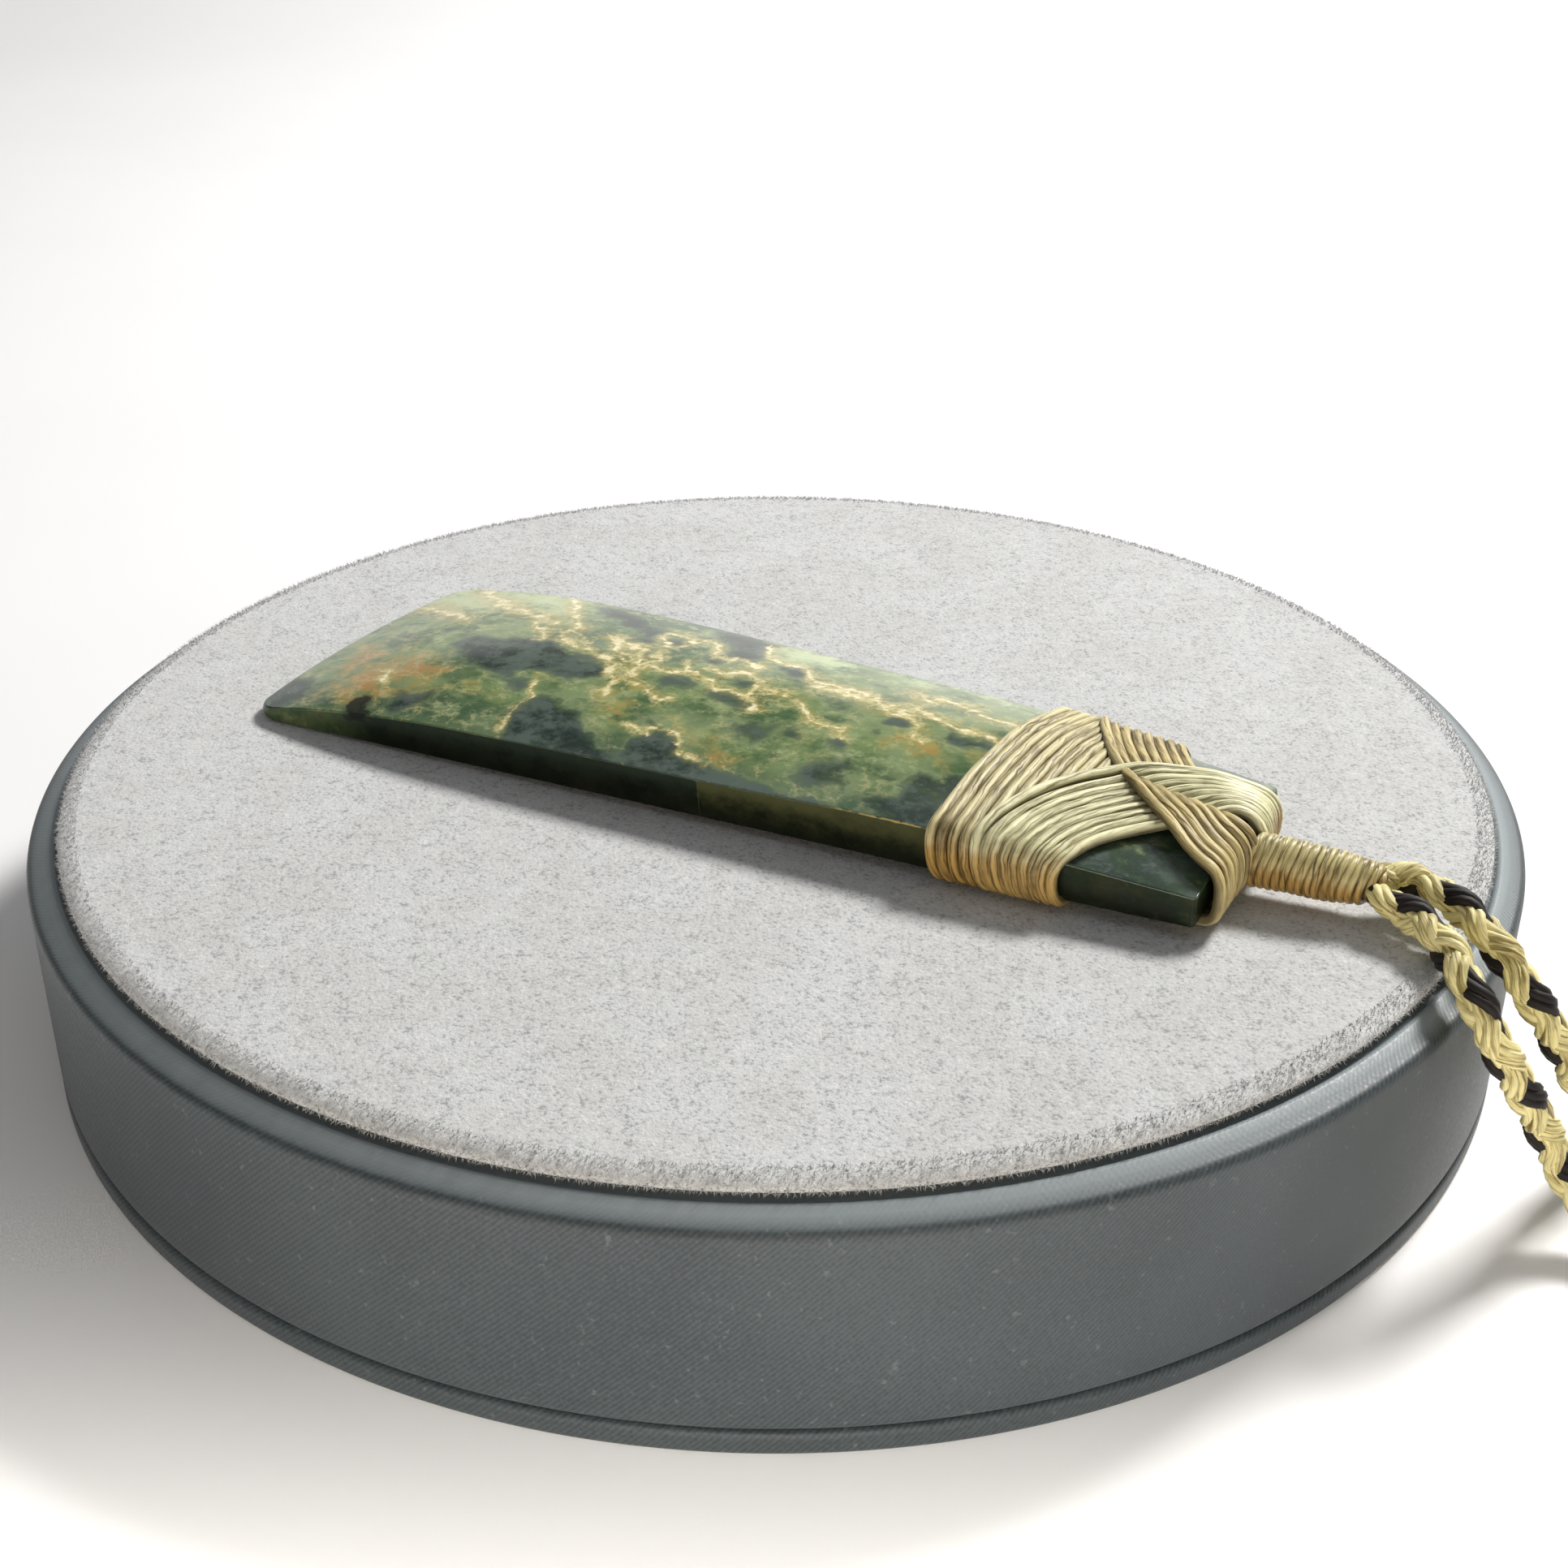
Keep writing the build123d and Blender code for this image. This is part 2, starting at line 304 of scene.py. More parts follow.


# the point layer that the thread material darkens with painted shade is 1 where a thread turns down into the gap beside
# it; along and bases are points in mm
def markCreases(piece, along, bases, radius):
    up = along - bases
    up /= np.linalg.norm(up, axis=1)[:, None]
    tree = KDTree(len(along))
    for k, point in enumerate(along):
        tree.insert(point, k)
    tree.balance()
    facing = np.empty(len(piece.data.vertices))
    for vertex in piece.data.vertices:
        point = np.array(vertex.co) / mm
        k = tree.find(point)[1]
        facing[vertex.index] = (point - along[k]) @ up[k] / radius
    layer = piece.data.attributes.new("creaseShade", "FLOAT", "POINT")
    layer.data.foreach_set("value", smoothStep((0.8 - facing) / 0.7).astype(np.float32))


# materials of the threads

# the crease tone and its share are painted shade, laid where a thread turns down into the gap beside it
threadFinishes = {"blobs": 2.2, "fibres": 0.15, "wander": 2.4, "creaseShade": "#33280f", "creaseShadeShare": 0.8}  # lengths in mm


def threadMaterial(name, light, dark, plies, pitch, width, rough, depth, paintedShadeBelow=None):  # lengths in mm
    material, tree, node, surface = newMaterial(name)
    ply = addNode(tree, "ShaderNodeUVMap", {"uv_map": "ply"}).outputs[0]
    parts = addNode(tree, "ShaderNodeSeparateXYZ", {}, {0: ply}).outputs
    place = addNode(tree, "ShaderNodeTexCoord").outputs["Object"]
    tone, creaseShade = (addNode(tree, "ShaderNodeAttribute", {"attribute_name": layer}).outputs["Fac"]
                    for layer in ("tone", "creaseShade"))

    def swung(value, amount):  # a value from 0 to 1 as a swing to both sides of 0
        return node("MULTIPLY", node("SUBTRACT", value, 0.5), amount)

    turn = node("MULTIPLY", parts[0], fullTurn)
    walk = node("MULTIPLY", parts[1], fullTurn / (pitch * mm))
    wander = node("MULTIPLY", node("noise", place, spaced(threadFinishes["wander"]), 2.0), 2.0)
    spin = node("ADD", node("ADD", turn, walk), wander)
    groove = node("POWER", node("ABSOLUTE", node("SINE", node("MULTIPLY", spin, 0.5 * plies))), 0.5)
    # the fibres are drawn on a round section that turns with the plies, and long along the thread
    section = [node("MULTIPLY", node(wave, spin), width * 0.5 * mm) for wave in ("COSINE", "SINE")]
    drawn = node("MULTIPLY", parts[1], 0.045)
    fibreAt = addNode(tree, "ShaderNodeCombineXYZ", {}, {0: section[0], 1: section[1], 2: drawn}).outputs[0]
    apart = addNode(tree, "ShaderNodeCombineXYZ", {}, {0: tone, 1: tone, 2: tone}).outputs[0]
    strandAt = addNode(tree, "ShaderNodeVectorMath", {"operation": "ADD"}, {0: fibreAt, 1: apart}).outputs[0]
    fibre = node("noise", strandAt, spaced(threadFinishes["fibres"]), 3.0, 0.6, 2.0)
    blotch = node("noise", place, spaced(threadFinishes["blobs"]), 3.0, 0.6, 5.0)
    height = node("ADD", node("MULTIPLY", groove, 0.5), node("MULTIPLY", fibre, 1.1))
    shade = node("MULTIPLY", groove, 0.30)
    for value, amount in ((fibre, 1.5), (blotch, 0.7), (tone, 0.22)):
        shade = node("ADD", shade, swung(value, amount))
    mixed = node("between", shade, -0.20, 0.48)
    colour = node("blend", mixed, linear(dark), linear(light))
    if paintedShadeBelow:  # painted shade: a darker, golden pair of tones takes over between two heights in mm, for the warm light and shade low on the sides
        high, low, shadeBelowLight, shadeBelowDark = paintedShadeBelow
        rise = addNode(tree, "ShaderNodeSeparateXYZ", {}, {0: place}).outputs[2]
        shaky = node("ADD", rise, swung(blotch, 3 * mm))
        colour = node("blend", node("between", shaky, high * mm, low * mm, 0.85), colour,
                      node("blend", mixed, linear(shadeBelowDark), linear(shadeBelowLight)))
    # painted shade in the gaps between the turns
    paintedCreaseShade = node("MULTIPLY", creaseShade, threadFinishes["creaseShadeShare"])
    colour = node("blend", paintedCreaseShade, colour, linear(threadFinishes["creaseShade"]))
    setSockets(surface, {"Base Color": colour, "Roughness": rough, "Sheen Weight": 0.06, "Sheen Roughness": 0.4,
                         "Normal": node("bump", height, depth * mm)})
    return material


# waxed polyester lashing thread laid almost untwisted: straw khaki with long fine fibres and a low wax shine,
# golden brown painted low on the side as warm light and shade
waxedThread = threadMaterial(
    "waxed polyester thread, straw khaki", "#ded3a0", "#6a5a34", plies=5, pitch=40.0, width=0.88, rough=0.46,
    depth=0.06, paintedShadeBelow=(25.0, 22.8, "#c4963a", "#38210a"))
# the turns wound last have lost some wax: paler, with a creamier shine
paleThread = threadMaterial(
    "waxed polyester thread, pale", "#f8f5c8", "#7a7242", plies=5, pitch=40.0, width=0.88, rough=0.44,
    depth=0.06, paintedShadeBelow=(25.0, 22.8, "#c99d40", "#3e260b"))
# the turns that took up most wax: tan brown
tanThread = threadMaterial(
    "waxed polyester thread, tan", "#dac88c", "#66522c", plies=5, pitch=40.0, width=0.88, rough=0.46, depth=0.06)
# the same thread wound hard round the neck: golden brown painted below as warm light and shade, the thread's own pale
# tone on the tops
neckThread = threadMaterial(
    "waxed polyester thread, golden brown", "#d8cb92", "#4c3f1c", plies=4, pitch=7.0, width=0.66, rough=0.36,
    depth=0.06, paintedShadeBelow=(24.2, 22.7, "#b88f46", "#35200a"))
# cream braid thread: yellowish, drier, with soft fibres
braidThread = threadMaterial(
    "waxed cotton braid, cream", "#f4e9a9", "#7e6b2e", plies=3, pitch=9.0, width=0.72, rough=0.55, depth=0.05)
# dyed braid thread: nearly black brown with a faint wax sheen
darkThread = threadMaterial(
    "waxed cotton braid, black brown", "#1c1411", "#080504", plies=3, pitch=9.0, width=0.80, rough=0.60, depth=0.02)
setSockets(darkThread.node_tree.nodes["Principled BSDF"], {"Specular IOR Level": 0.3})
say("thread materials")


# neck cords: four-strand round braid, each strand three threads laid side by side

nearRoute = [
    (0.0428, -0.0295, 0.0222), (0.0443, -0.0305, 0.0220), (0.0459, -0.0338, 0.0217), (0.0465, -0.0380, 0.0209),
    (0.0482, -0.0402, 0.0176), (0.0512, -0.0394, 0.0129), (0.0540, -0.0382, 0.0083), (0.0559, -0.0386, 0.0045),
    (0.0583, -0.0418, 0.0019), (0.0625, -0.0468, 0.0015), (0.0710, -0.0530, 0.0015), (0.0870, -0.0575, 0.0015),
    (0.1110, -0.0575, 0.0015), (0.1380, -0.0535, 0.0015), (0.1660, -0.0450, 0.0015), (0.1870, -0.0305, 0.0015),
    (0.1970, -0.0150, 0.0020), (0.1990, -0.0043, 0.0026),
]
farRoute = [
    (0.0439, -0.0267, 0.0226), (0.0461, -0.0273, 0.0225), (0.0481, -0.0299, 0.0221), (0.0498, -0.0333, 0.0211),
    (0.0525, -0.0352, 0.0175), (0.0557, -0.0347, 0.0127), (0.0590, -0.0326, 0.0070), (0.0628, -0.0294, 0.0025),
    (0.0677, -0.0230, 0.0015), (0.0740, -0.0100, 0.0015), (0.0800, 0.0100, 0.0015), (0.0920, 0.0340, 0.0015),
    (0.1130, 0.0515, 0.0015), (0.1410, 0.0565, 0.0015), (0.1690, 0.0500, 0.0015), (0.1890, 0.0365, 0.0015),
    (0.1976, 0.0205, 0.0020), (0.1990, 0.0103, 0.0026),
]
cordSizes = {
    "diameter": 2.9, "strandTurn": 8.6, "threadDiameter": 0.76, "darkDiameter": 0.84, "threadSpread": 0.50,
    "overRadius": 1.06, "underRadius": 0.44, "laneDrop": 0.20, "step": 0.42, "sides": 8, "necking": 0.62,
    "neckingLength": 3.0, "intoClasp": 0.9,
}
# where the dark strand is on top, the first time it is, the point inside the whipping, and the whole length in metres
nearSizes = {"over": -118, "first": 3.6, "lead": (42.2, -28.4, 22.5), "length": 0.2019}
farSizes = {"over": -100, "first": 7.0, "lead": (42.6, -27.3, 22.6), "length": 0.2386}
claspSizes = {
    "diameter": 5.2, "length": 14.0, "collar": 2.0, "step": 0.5, "centre": (199.0, 3.0, 2.6), "around": 96,
    "fluteDepth": 0.12, "seam": 0.18, "mouth": 3.3, "mouthDepth": 1.2,
}


def routeLine(name, route):  # smooth NURBS line through the route, read as points in mm
    data = bpy.data.curves.new(name + "_route", "CURVE")
    data.dimensions = "3D"
    spline = data.splines.new("NURBS")
    spline.points.add(len(route) - 1)
    for point, place in zip(spline.points, route):
        point.co = (*place, 1.0)
    spline.order_u = 3
    spline.use_endpoint_u = True
    spline.resolution_u = 24
    holder = newObject(name + "_route", data)
    mesh = bpy.data.meshes.new_from_object(holder)
    line = np.empty(len(mesh.vertices) * 3)
    mesh.vertices.foreach_get("co", line)
    bpy.data.objects.remove(holder)
    bpy.data.meshes.remove(mesh)
    return line.reshape(-1, 3) / mm


def framesAlong(line):  # directions that don't twist along the line
    ahead = np.gradient(line, axis=0)
    ahead /= np.linalg.norm(ahead, axis=1)[:, None]
    side = np.zeros_like(line)
    side[0] = np.cross(ahead[0], (0, 0, 1))
    side[0] /= np.linalg.norm(side[0])
    for i in range(1, len(line)):
        side[i] = side[i - 1] - ahead[i] * (side[i - 1] @ ahead[i])
        side[i] /= np.linalg.norm(side[i])
    return ahead, side, np.cross(ahead, side)


# the dark strand is on top at the angle over, first mm along and after each turn
def braidPaths(line, over, first):
    s = cordSizes
    top = math.radians(over)
    line = spacedOut(line, s["step"])
    ahead, side, up = framesAlong(line)
    run = np.arange(len(line)) * s["step"]
    ends = np.minimum(run, run[-1] - run)
    squeeze = s["necking"] + (1 - s["necking"]) * np.clip(ends / s["neckingLength"], 0, 1) ** 0.7
    middle, swing = (s["overRadius"] + s["underRadius"]) / 2, (s["overRadius"] - s["underRadius"]) / 2
    light, dark = [], []
    for strand in range(4):
        sense = 1 if strand % 2 == 0 else -1
        angle = top + sense * 2 * math.pi * (run - first) / s["strandTurn"] + (math.pi if strand > 1 else 0)
        reach = (middle - sense * swing * np.cos(2 * (angle - top))) * squeeze
        outDir = side * np.cos(angle)[:, None] + up * np.sin(angle)[:, None]
        centre = line + outDir * reach[:, None]
        heading = np.gradient(centre, axis=0)
        heading /= np.linalg.norm(heading, axis=1)[:, None]
        across = np.cross(outDir, heading)
        across /= np.linalg.norm(across, axis=1)[:, None]
        for lane in (-1, 0, 1):
            spread = s["threadSpread"] * (0.75 + 0.25 * squeeze)
            drop = s["laneDrop"] * abs(lane)
            path = centre + across * (lane * spread)[:, None] - outDir * drop
            (dark if strand == 1 else light).append(path)
    return light, dark


def makeCord(name, route, own):
    s = cordSizes
    smooth = routeLine(name, route)
    into = np.array((0, s["intoClasp"] * np.sign(claspSizes["centre"][1] - smooth[-1, 1]), 0))
    line = softened(spacedOut(np.vstack([[own["lead"]], smooth, [smooth[-1] + into]]), 0.3), 6)
    light, dark = braidPaths(line, own["over"], own["first"])
    piece = onePiece(name, [
        windThreads(name + "_light", light, s["threadDiameter"], s["sides"], braidThread),
        windThreads(name + "_dark", dark, s["darkDiameter"], s["sides"], darkThread),
    ])
    return piece, spacedOut(smooth, 1.0) * mm


cordNear, nearPath = makeCord("cord_near_braid", nearRoute, nearSizes)
cordFar, farPath = makeCord("cord_far_braid", farRoute, farSizes)
say("neck cords")


# clasp: turned brass barrel in two halves, with a knurled ring at each end and a waist

def brassMaterial():
    # lacquered turned brass: warm metal with fine lathe lines round it and a soft shine
    material, tree, node, surface = newMaterial("turned brass, lacquered")
    place = addNode(tree, "ShaderNodeTexCoord").outputs["Object"]
    stretched = addNode(tree, "ShaderNodeMapping", {}, {"Vector": place, "Scale": (0.05, 12.0, 0.05)}).outputs[0]
    lines = node("noise", stretched, spaced(1.2), 2.0, 0.6)
    setSockets(surface, {
        "Base Color": node("blend", node("noise", place, spaced(3.0)), linear("#b8954f"), linear("#8c6c36")),
        "Metallic": 1.0, "Roughness": node("between", lines, 0.3, 0.7, 0.42, 0.24),
        "Normal": node("bump", lines, 0.02 * mm)})
    return material


def makeClasp():
    s = claspSizes
    radius, half, collar, step = s["diameter"] / 2, s["length"] / 2, s["collar"], s["step"]
    mouth, deep, seam, around = s["mouth"] / 2, s["mouthDepth"], s["seam"], s["around"]
    waist = radius - step
    halfProfile = [  # distance along the axis from the middle, radius, flute share
        (0.0, waist - seam, 0), (0.12, waist - seam, 0), (0.2, waist - 0.02, 0), (seam + 0.2, waist, 0),
        (half - collar - step - 0.6, waist, 0), (half - collar - step, waist + 0.06, 0),
        (half - collar - 0.12, radius - 0.1, 0), (half - collar, radius, 0), (half - collar + 0.25, radius, 1),
        (half - 0.35, radius, 1), (half - 0.12, radius, 0), (half, radius - 0.14, 0), (half, mouth + 0.2, 0),
        (half - 0.1, mouth, 0), (half - deep, mouth, 0), (half - deep, 0.02, 0),
    ]
    profile = [(-a, r, f) for a, r, f in reversed(halfProfile)] + halfProfile[1:]
    x, y, z = s["centre"]
    points, faces = [], []
    for along, r, flute in profile:
        for k in range(around):
            turn = fullTurn * k / around
            reach = r - s["fluteDepth"] * flute * (1 if k % 4 in (0, 1) else 0)
            points.append((x + reach * math.cos(turn), y + along, z + reach * math.sin(turn)))
    for row in range(len(profile) - 1):
        for k in range(around):
            a, b = row * around + k, row * around + (k + 1) % around
            faces.append((a, b, b + around, a + around))
    faces.append(tuple(range(around)))
    faces.append(tuple(range((len(profile) - 1) * around, len(profile) * around)))
    piece = meshPiece("clasp_barrel", points, faces, [brassMaterial()])
    outward(piece)
    shadeByAngle(piece, 35)
    return piece


clasp = makeClasp()
say("clasp")


# stone: the adze form in its own frame, x from the cutting edge to the butt, y across, z up

stoneSizes = {
    "length": 82.4, "bladeHalfWidth": 14.6, "buttHalfWidth": 9.4, "sideBow": 0.5, "sideHeight": 3.3, "topCrown": 1.4,
    "bottomCrown": 0.2, "sideUndercut": 0.35, "bladeBow": 1.2, "bladeCorner": 2.4, "buttCorner": 0.2, "edgeRound": 0.17,
    "rows": 430, "columns": 168,
}
lieSizes = {"angle": -29.0, "side": -3.6, "reach": 41.7, "bed": 19.95, "restHeight": 0.78, "restAlong": 61.7}
sectionShares = np.array([  # along, side height, crown, undercut
    (-0.03, 0.03, 0.05, 0.03), (0.03, 0.33, 0.30, 0.33), (0.10, 0.63, 0.60, 0.63), (0.20, 0.88, 0.86, 0.88),
    (0.32, 0.98, 1.00, 0.98), (0.55, 1.04, 1.00, 1.00), (0.76, 1.06, 0.95, 0.50), (0.89, 0.88, 0.82, -0.70),
    (1.03, 0.62, 0.62, -1.60)])


def stoneLie():
    s = lieSizes
    tilt = math.asin(s["restHeight"] / s["restAlong"])
    return (Matrix.Translation((0, 0, s["bed"] - stoneSizes["bottomCrown"]))
            @ Matrix.Rotation(math.radians(s["angle"]), 4, "Z")
            @ Matrix.Translation((-s["reach"], s["side"], 0)) @ Matrix.Rotation(-tilt, 4, "Y"))


lie = np.array(stoneLie())


def laid(points):  # from the stone's frame to the scene's, both in mm
    return np.asarray(points, float) @ lie[:3, :3].T + lie[:3, 3]


def smoothTable(x, xs, ys):  # curve through the table's points with matched slopes
    slopes = np.gradient(ys, xs)
    i = np.clip(np.searchsorted(xs, x) - 1, 0, len(xs) - 2)
    h = xs[i + 1] - xs[i]
    t = (x - xs[i]) / h
    return ((2 * t**3 - 3 * t**2 + 1) * ys[i] + (t**3 - 2 * t**2 + t) * h * slopes[i]
            + (3 * t**2 - 2 * t**3) * ys[i + 1] + (t**3 - t**2) * h * slopes[i + 1])


def halfWidth(x):
    s = stoneSizes
    share = x / s["length"]
    return (s["bladeHalfWidth"] + (s["buttHalfWidth"] - s["bladeHalfWidth"]) * share
            + 4 * s["sideBow"] * share * (1 - share))


def stoneTop(x, y):
    s = stoneSizes
    share = x / s["length"]
    side = smoothTable(share, sectionShares[:, 0], sectionShares[:, 1])
    crown = smoothTable(share, sectionShares[:, 0], sectionShares[:, 2])
    arch = np.clip(1 - (y / halfWidth(x)) ** 2, 0, 1)
    return s["bottomCrown"] + s["sideHeight"] * side + s["topCrown"] * crown * arch


def stoneFoot(x, y):
    s = stoneSizes
    crown = smoothTable(x / s["length"], sectionShares[:, 0], sectionShares[:, 2])
    return s["bottomCrown"] * (1 - crown * np.clip(1 - (y / halfWidth(x)) ** 2, 0, 1))


def bladeLine(y):  # how far back the cutting edge lies at y
    s = stoneSizes
    side = halfWidth(s["bladeBow"] + s["bladeCorner"])
    inner = side - s["bladeCorner"]
    bow = s["bladeBow"] * (np.minimum(np.abs(y), inner) / side) ** 2
    over = np.clip(np.abs(y) - inner, 0, s["bladeCorner"])
    return bow + s["bladeCorner"] - np.sqrt(np.maximum(s["bladeCorner"] ** 2 - over**2, 0))


def buttLine(y):
    s = stoneSizes
    return s["length"] - np.clip(np.abs(y) - (s["buttHalfWidth"] - s["buttCorner"]), 0, s["buttCorner"])


def stonePlan(u, v, inset):  # plan position for shares along and across, drawn in by inset
    s = stoneSizes
    first = s["bladeBow"] + s["bladeCorner"]
    start = bladeLine(v * halfWidth(first)) + inset
    stop = buttLine(v * halfWidth(s["length"])) - inset
    x = start + u * (stop - start)
    return x, v * (halfWidth(x) - inset)


def makeStoneMesh(rows, columns):
    s = stoneSizes
    rnd = s["edgeRound"]
    u = np.linspace(0, 1, rows + 1)
    u = u + 0.012 * np.sin(fullTurn * u) * -1  # closer rows at both ends
    v = np.sin(np.linspace(-quarterTurn, quarterTurn, columns + 1))
    grid = np.meshgrid(u, v, indexing="ij")
    x, y = stonePlan(grid[0], grid[1], rnd)
    top = np.stack([x, y, stoneTop(x, y)], -1).reshape(-1, 3)
    index = np.arange((rows + 1) * (columns + 1)).reshape(rows + 1, columns + 1)
    loop = np.concatenate([index[:, 0][:-1], index[-1, :][:-1], index[::-1, -1][:-1], index[0, ::-1][:-1]])
    points = [top]
    faces = [np.stack([part.ravel() for part in (index[:-1, :-1], index[1:, :-1], index[1:, 1:], index[:-1, 1:])], 1)]
    edgeU, edgeV = grid[0].reshape(-1)[loop], grid[1].reshape(-1)[loop]
    outer = np.stack(stonePlan(edgeU, edgeV, 0.0), 1)
    inner = top[loop]
    out = outer - inner[:, :2]
    out /= np.maximum(np.linalg.norm(out, axis=1)[:, None], 1e-6)
    rim = stoneTop(outer[:, 0], outer[:, 1])
    foot = np.full_like(rim, s["bottomCrown"])
    wall = rim - foot
    r = np.minimum(rnd, 0.3 * wall)
    undercut = smoothTable(outer[:, 0] / s["length"], sectionShares[:, 0], sectionShares[:, 3])
    under = s["sideUndercut"] * undercut * np.abs(out[:, 1])
    sideways = out * (0.0, 1.0)
    for part in np.linspace(0.2, 1.0, 5):  # rounded upper edge
        angle = part * math.pi / 2
        drop = r * (1 - np.cos(angle))
        points.append(np.c_[inner[:, :2] + out * (rnd * np.sin(angle)), rim - drop + (inner[:, 2] - rim) * (1 - part)])
    for part in (0.33, 0.67, 1.0):  # side down to the foot
        down = (wall - 2 * r) * part + r
        points.append(np.c_[outer - sideways * (under * part)[:, None], rim - down])
    for part in (0.35, 0.7, 1.0):  # rounded foot
        angle = part * math.pi / 2
        plan = outer - sideways * under[:, None] - out * (r * (1 - np.cos(angle)))[:, None]
        points.append(np.c_[plan, foot + r * (1 - np.sin(angle))])
    middle = s["length"] / 2
    last = points[-1][:, :2]
    for part in (0.9, 0.6, 0.25):  # the underside, ring within ring
        ring = np.stack([middle + (last[:, 0] - middle) * (part + (1 - part) * 0.4), last[:, 1] * part], 1)
        points.append(np.c_[ring, stoneFoot(ring[:, 0], ring[:, 1])])
    previous, total = loop, len(top)
    for ring in points[1:]:
        current = np.arange(total, total + len(ring))
        faces.append(np.stack([previous, current, np.roll(current, -1), np.roll(previous, -1)], 1))
        previous = current
        total += len(ring)
    quads = [tuple(f) for f in np.vstack(faces).tolist()] + [tuple(previous[::-1].tolist())]
    return np.vstack(points), quads, rows * columns + 4 * len(loop)  # faces past that number are the sides and the foot


# The stone's figure, placed on its top face: outlines as (x, y) in mm, with a strength at the front.
slateAreas = [
    (1.0, (12.5, 2.5), (14.5, 1.5), (19, 1.8), (20.5, 2.2), (22.5, 1.9), (24, 1), (27.5, 0.2), (28.4, -0.8),
     (28.7, -2), (27.6, -3.4), (26.5, -4.2), (25, -3.9), (23.5, -3.4), (22.3, -3.7), (21.4, -4.3), (21.8, -5.2),
     (19, -4.8), (15.5, -4.2), (14.3, -2.8), (12.3, -1)),
    (0.75, (18.5, -5), (21.8, -4.6), (23.6, -5.2), (24.2, -7.2), (23, -7.6), (21, -6.6), (19.3, -6)),
    (0.82, (18, 13), (20, 13.2), (22, 12.8), (24, 11.3), (27.2, 9.6), (28.4, 9.2), (28.2, 8), (27.4, 7.2),
     (28.8, 6.2), (28.6, 5), (27, 4.9), (26.2, 5.6), (25.8, 7), (24.8, 8.2), (22, 9.2), (20.3, 9.4),
     (19.4, 10.6)),
    (0.8, (32.5, 12.9), (37, 13), (37.8, 12.2), (37.2, 11), (37.6, 9), (38.7, 7.3), (38, 6.6), (36.5, 5.9),
     (35.3, 6.1), (34.4, 7.6), (33.6, 9.4), (32.8, 9.2), (31.6, 10.4), (31, 12.4)),
    (1.0, (40.2, 6.9), (41, 7.2), (42.4, 6.8), (43.2, 5.6), (42.4, 5.2), (41.2, 5.3), (40.4, 5.9)),
    (0.95, (29, 7), (29.8, 8.2), (30.9, 7.4), (30.6, 6.2), (29.6, 6)),
    (1.0, (38.4, 2.2), (39.2, 2.6), (40.3, 2.2), (40.9, 1.4), (40.2, 0.7), (38.9, 0.9)),
    (0.8, (34.2, 5.5), (36, 5.2), (36.2, 4), (35, 3.6), (34, 4.4)),
    (1.0, (25.1, -7.2), (25.4, -6.3), (27, -6.6), (28, -8.2), (29.2, -7.6), (30.2, -7.6), (32, -9.6),
     (34.3, -11.6), (36.5, -12.3), (36, -13.4), (26, -14), (24.9, -11.2), (24.8, -9.5)),
    (0.95, (34.7, -6.9), (36.6, -6.9), (37, -7.6), (36.2, -8), (35.2, -7.6)),
    (1.0, (37.1, -7.3), (38.4, -7.9), (39.4, -8.8), (40, -9.9), (43.5, -11), (48, -11.2), (55, -11.6),
     (60, -11.4), (62, -13), (42, -14), (37.3, -13.4), (36, -11), (36.3, -9.6), (37, -9)),
    (0.78, (32.8, -0.1), (34.5, 0.6), (36.4, 0.3), (36.9, -1.2), (36, -2.3), (34, -2.4), (32.9, -1.4)),
    (0.78, (37, -1.4), (38.5, -0.6), (41.6, -0.4), (42.3, -1.6), (41.6, -2.8), (39.5, -2.4), (38, -1.9)),
    (1.0, (52.3, 0.5), (53.1, 1.7), (54.6, 1.7), (55.1, 0.4), (53.8, 0.1)),
    (1.0, (51, -3.2), (52.2, -3.9), (52.4, -5), (51.2, -4.6), (50.2, -3.4)),
    (0.85, (46.8, -3), (48.5, -3.6), (48.6, -5), (47.2, -5.1), (46.4, -4.1)),
    (0.75, (36.5, -3.8), (38.5, -4), (38.6, -4.8), (37, -4.7)),
    (0.9, (0.2, -7), (2.6, -8.2), (4, -10.2), (4.8, -12.4), (4.2, -15), (-1, -15)),
    (1.0, (58, 2), (59.7, 1.4), (66, 0.3), (66, -0.5), (60, -0.5), (58.6, 0.4)),
    (0.7, (8.7, 7), (9.6, 6.2), (11.2, 5.2), (10.8, 4.7), (9.4, 5.4)),
    (0.85, (13.2, -9.6), (16.6, -9.4), (16.8, -10.8), (15, -13), (13.4, -12.6)),
    (0.72, (58.4, -4.6), (66, -4), (66, -14), (57, -13), (56, -9.4), (58.2, -8)),
    (0.66, (49, -7.4), (53.8, -5), (55.4, -8.8), (57, -10), (52.6, -10.4), (49.4, -9.6)),
    (0.7, (3.8, 2.6), (5.3, 2), (6.8, 0.2), (5.6, -0.2), (4.2, 1.3)),
    (0.66, (11.5, -1.5), (13.8, -3), (15, -4.6), (12.8, -4)),
    (0.66, (45.4, 3.6), (50.6, 2.6), (51.6, 0.6), (48, 0.2), (46.2, 1.6)),
    (0.62, (44.6, -3.4), (46, -2.2), (47, -5.4), (45, -7.6), (41.4, -6), (42, -4)),
    (0.66, (72, 16), (90, 16), (90, -16), (72, -16)),
]
markAreas = [  # nearly black flaw that runs over the near edge
    (1.0, (10.7, -11.2), (11.6, -11.6), (12.1, -13), (13.6, -14.4), (14.8, -16), (12.6, -16), (10.6, -14.2),
     (10.3, -13)),
]
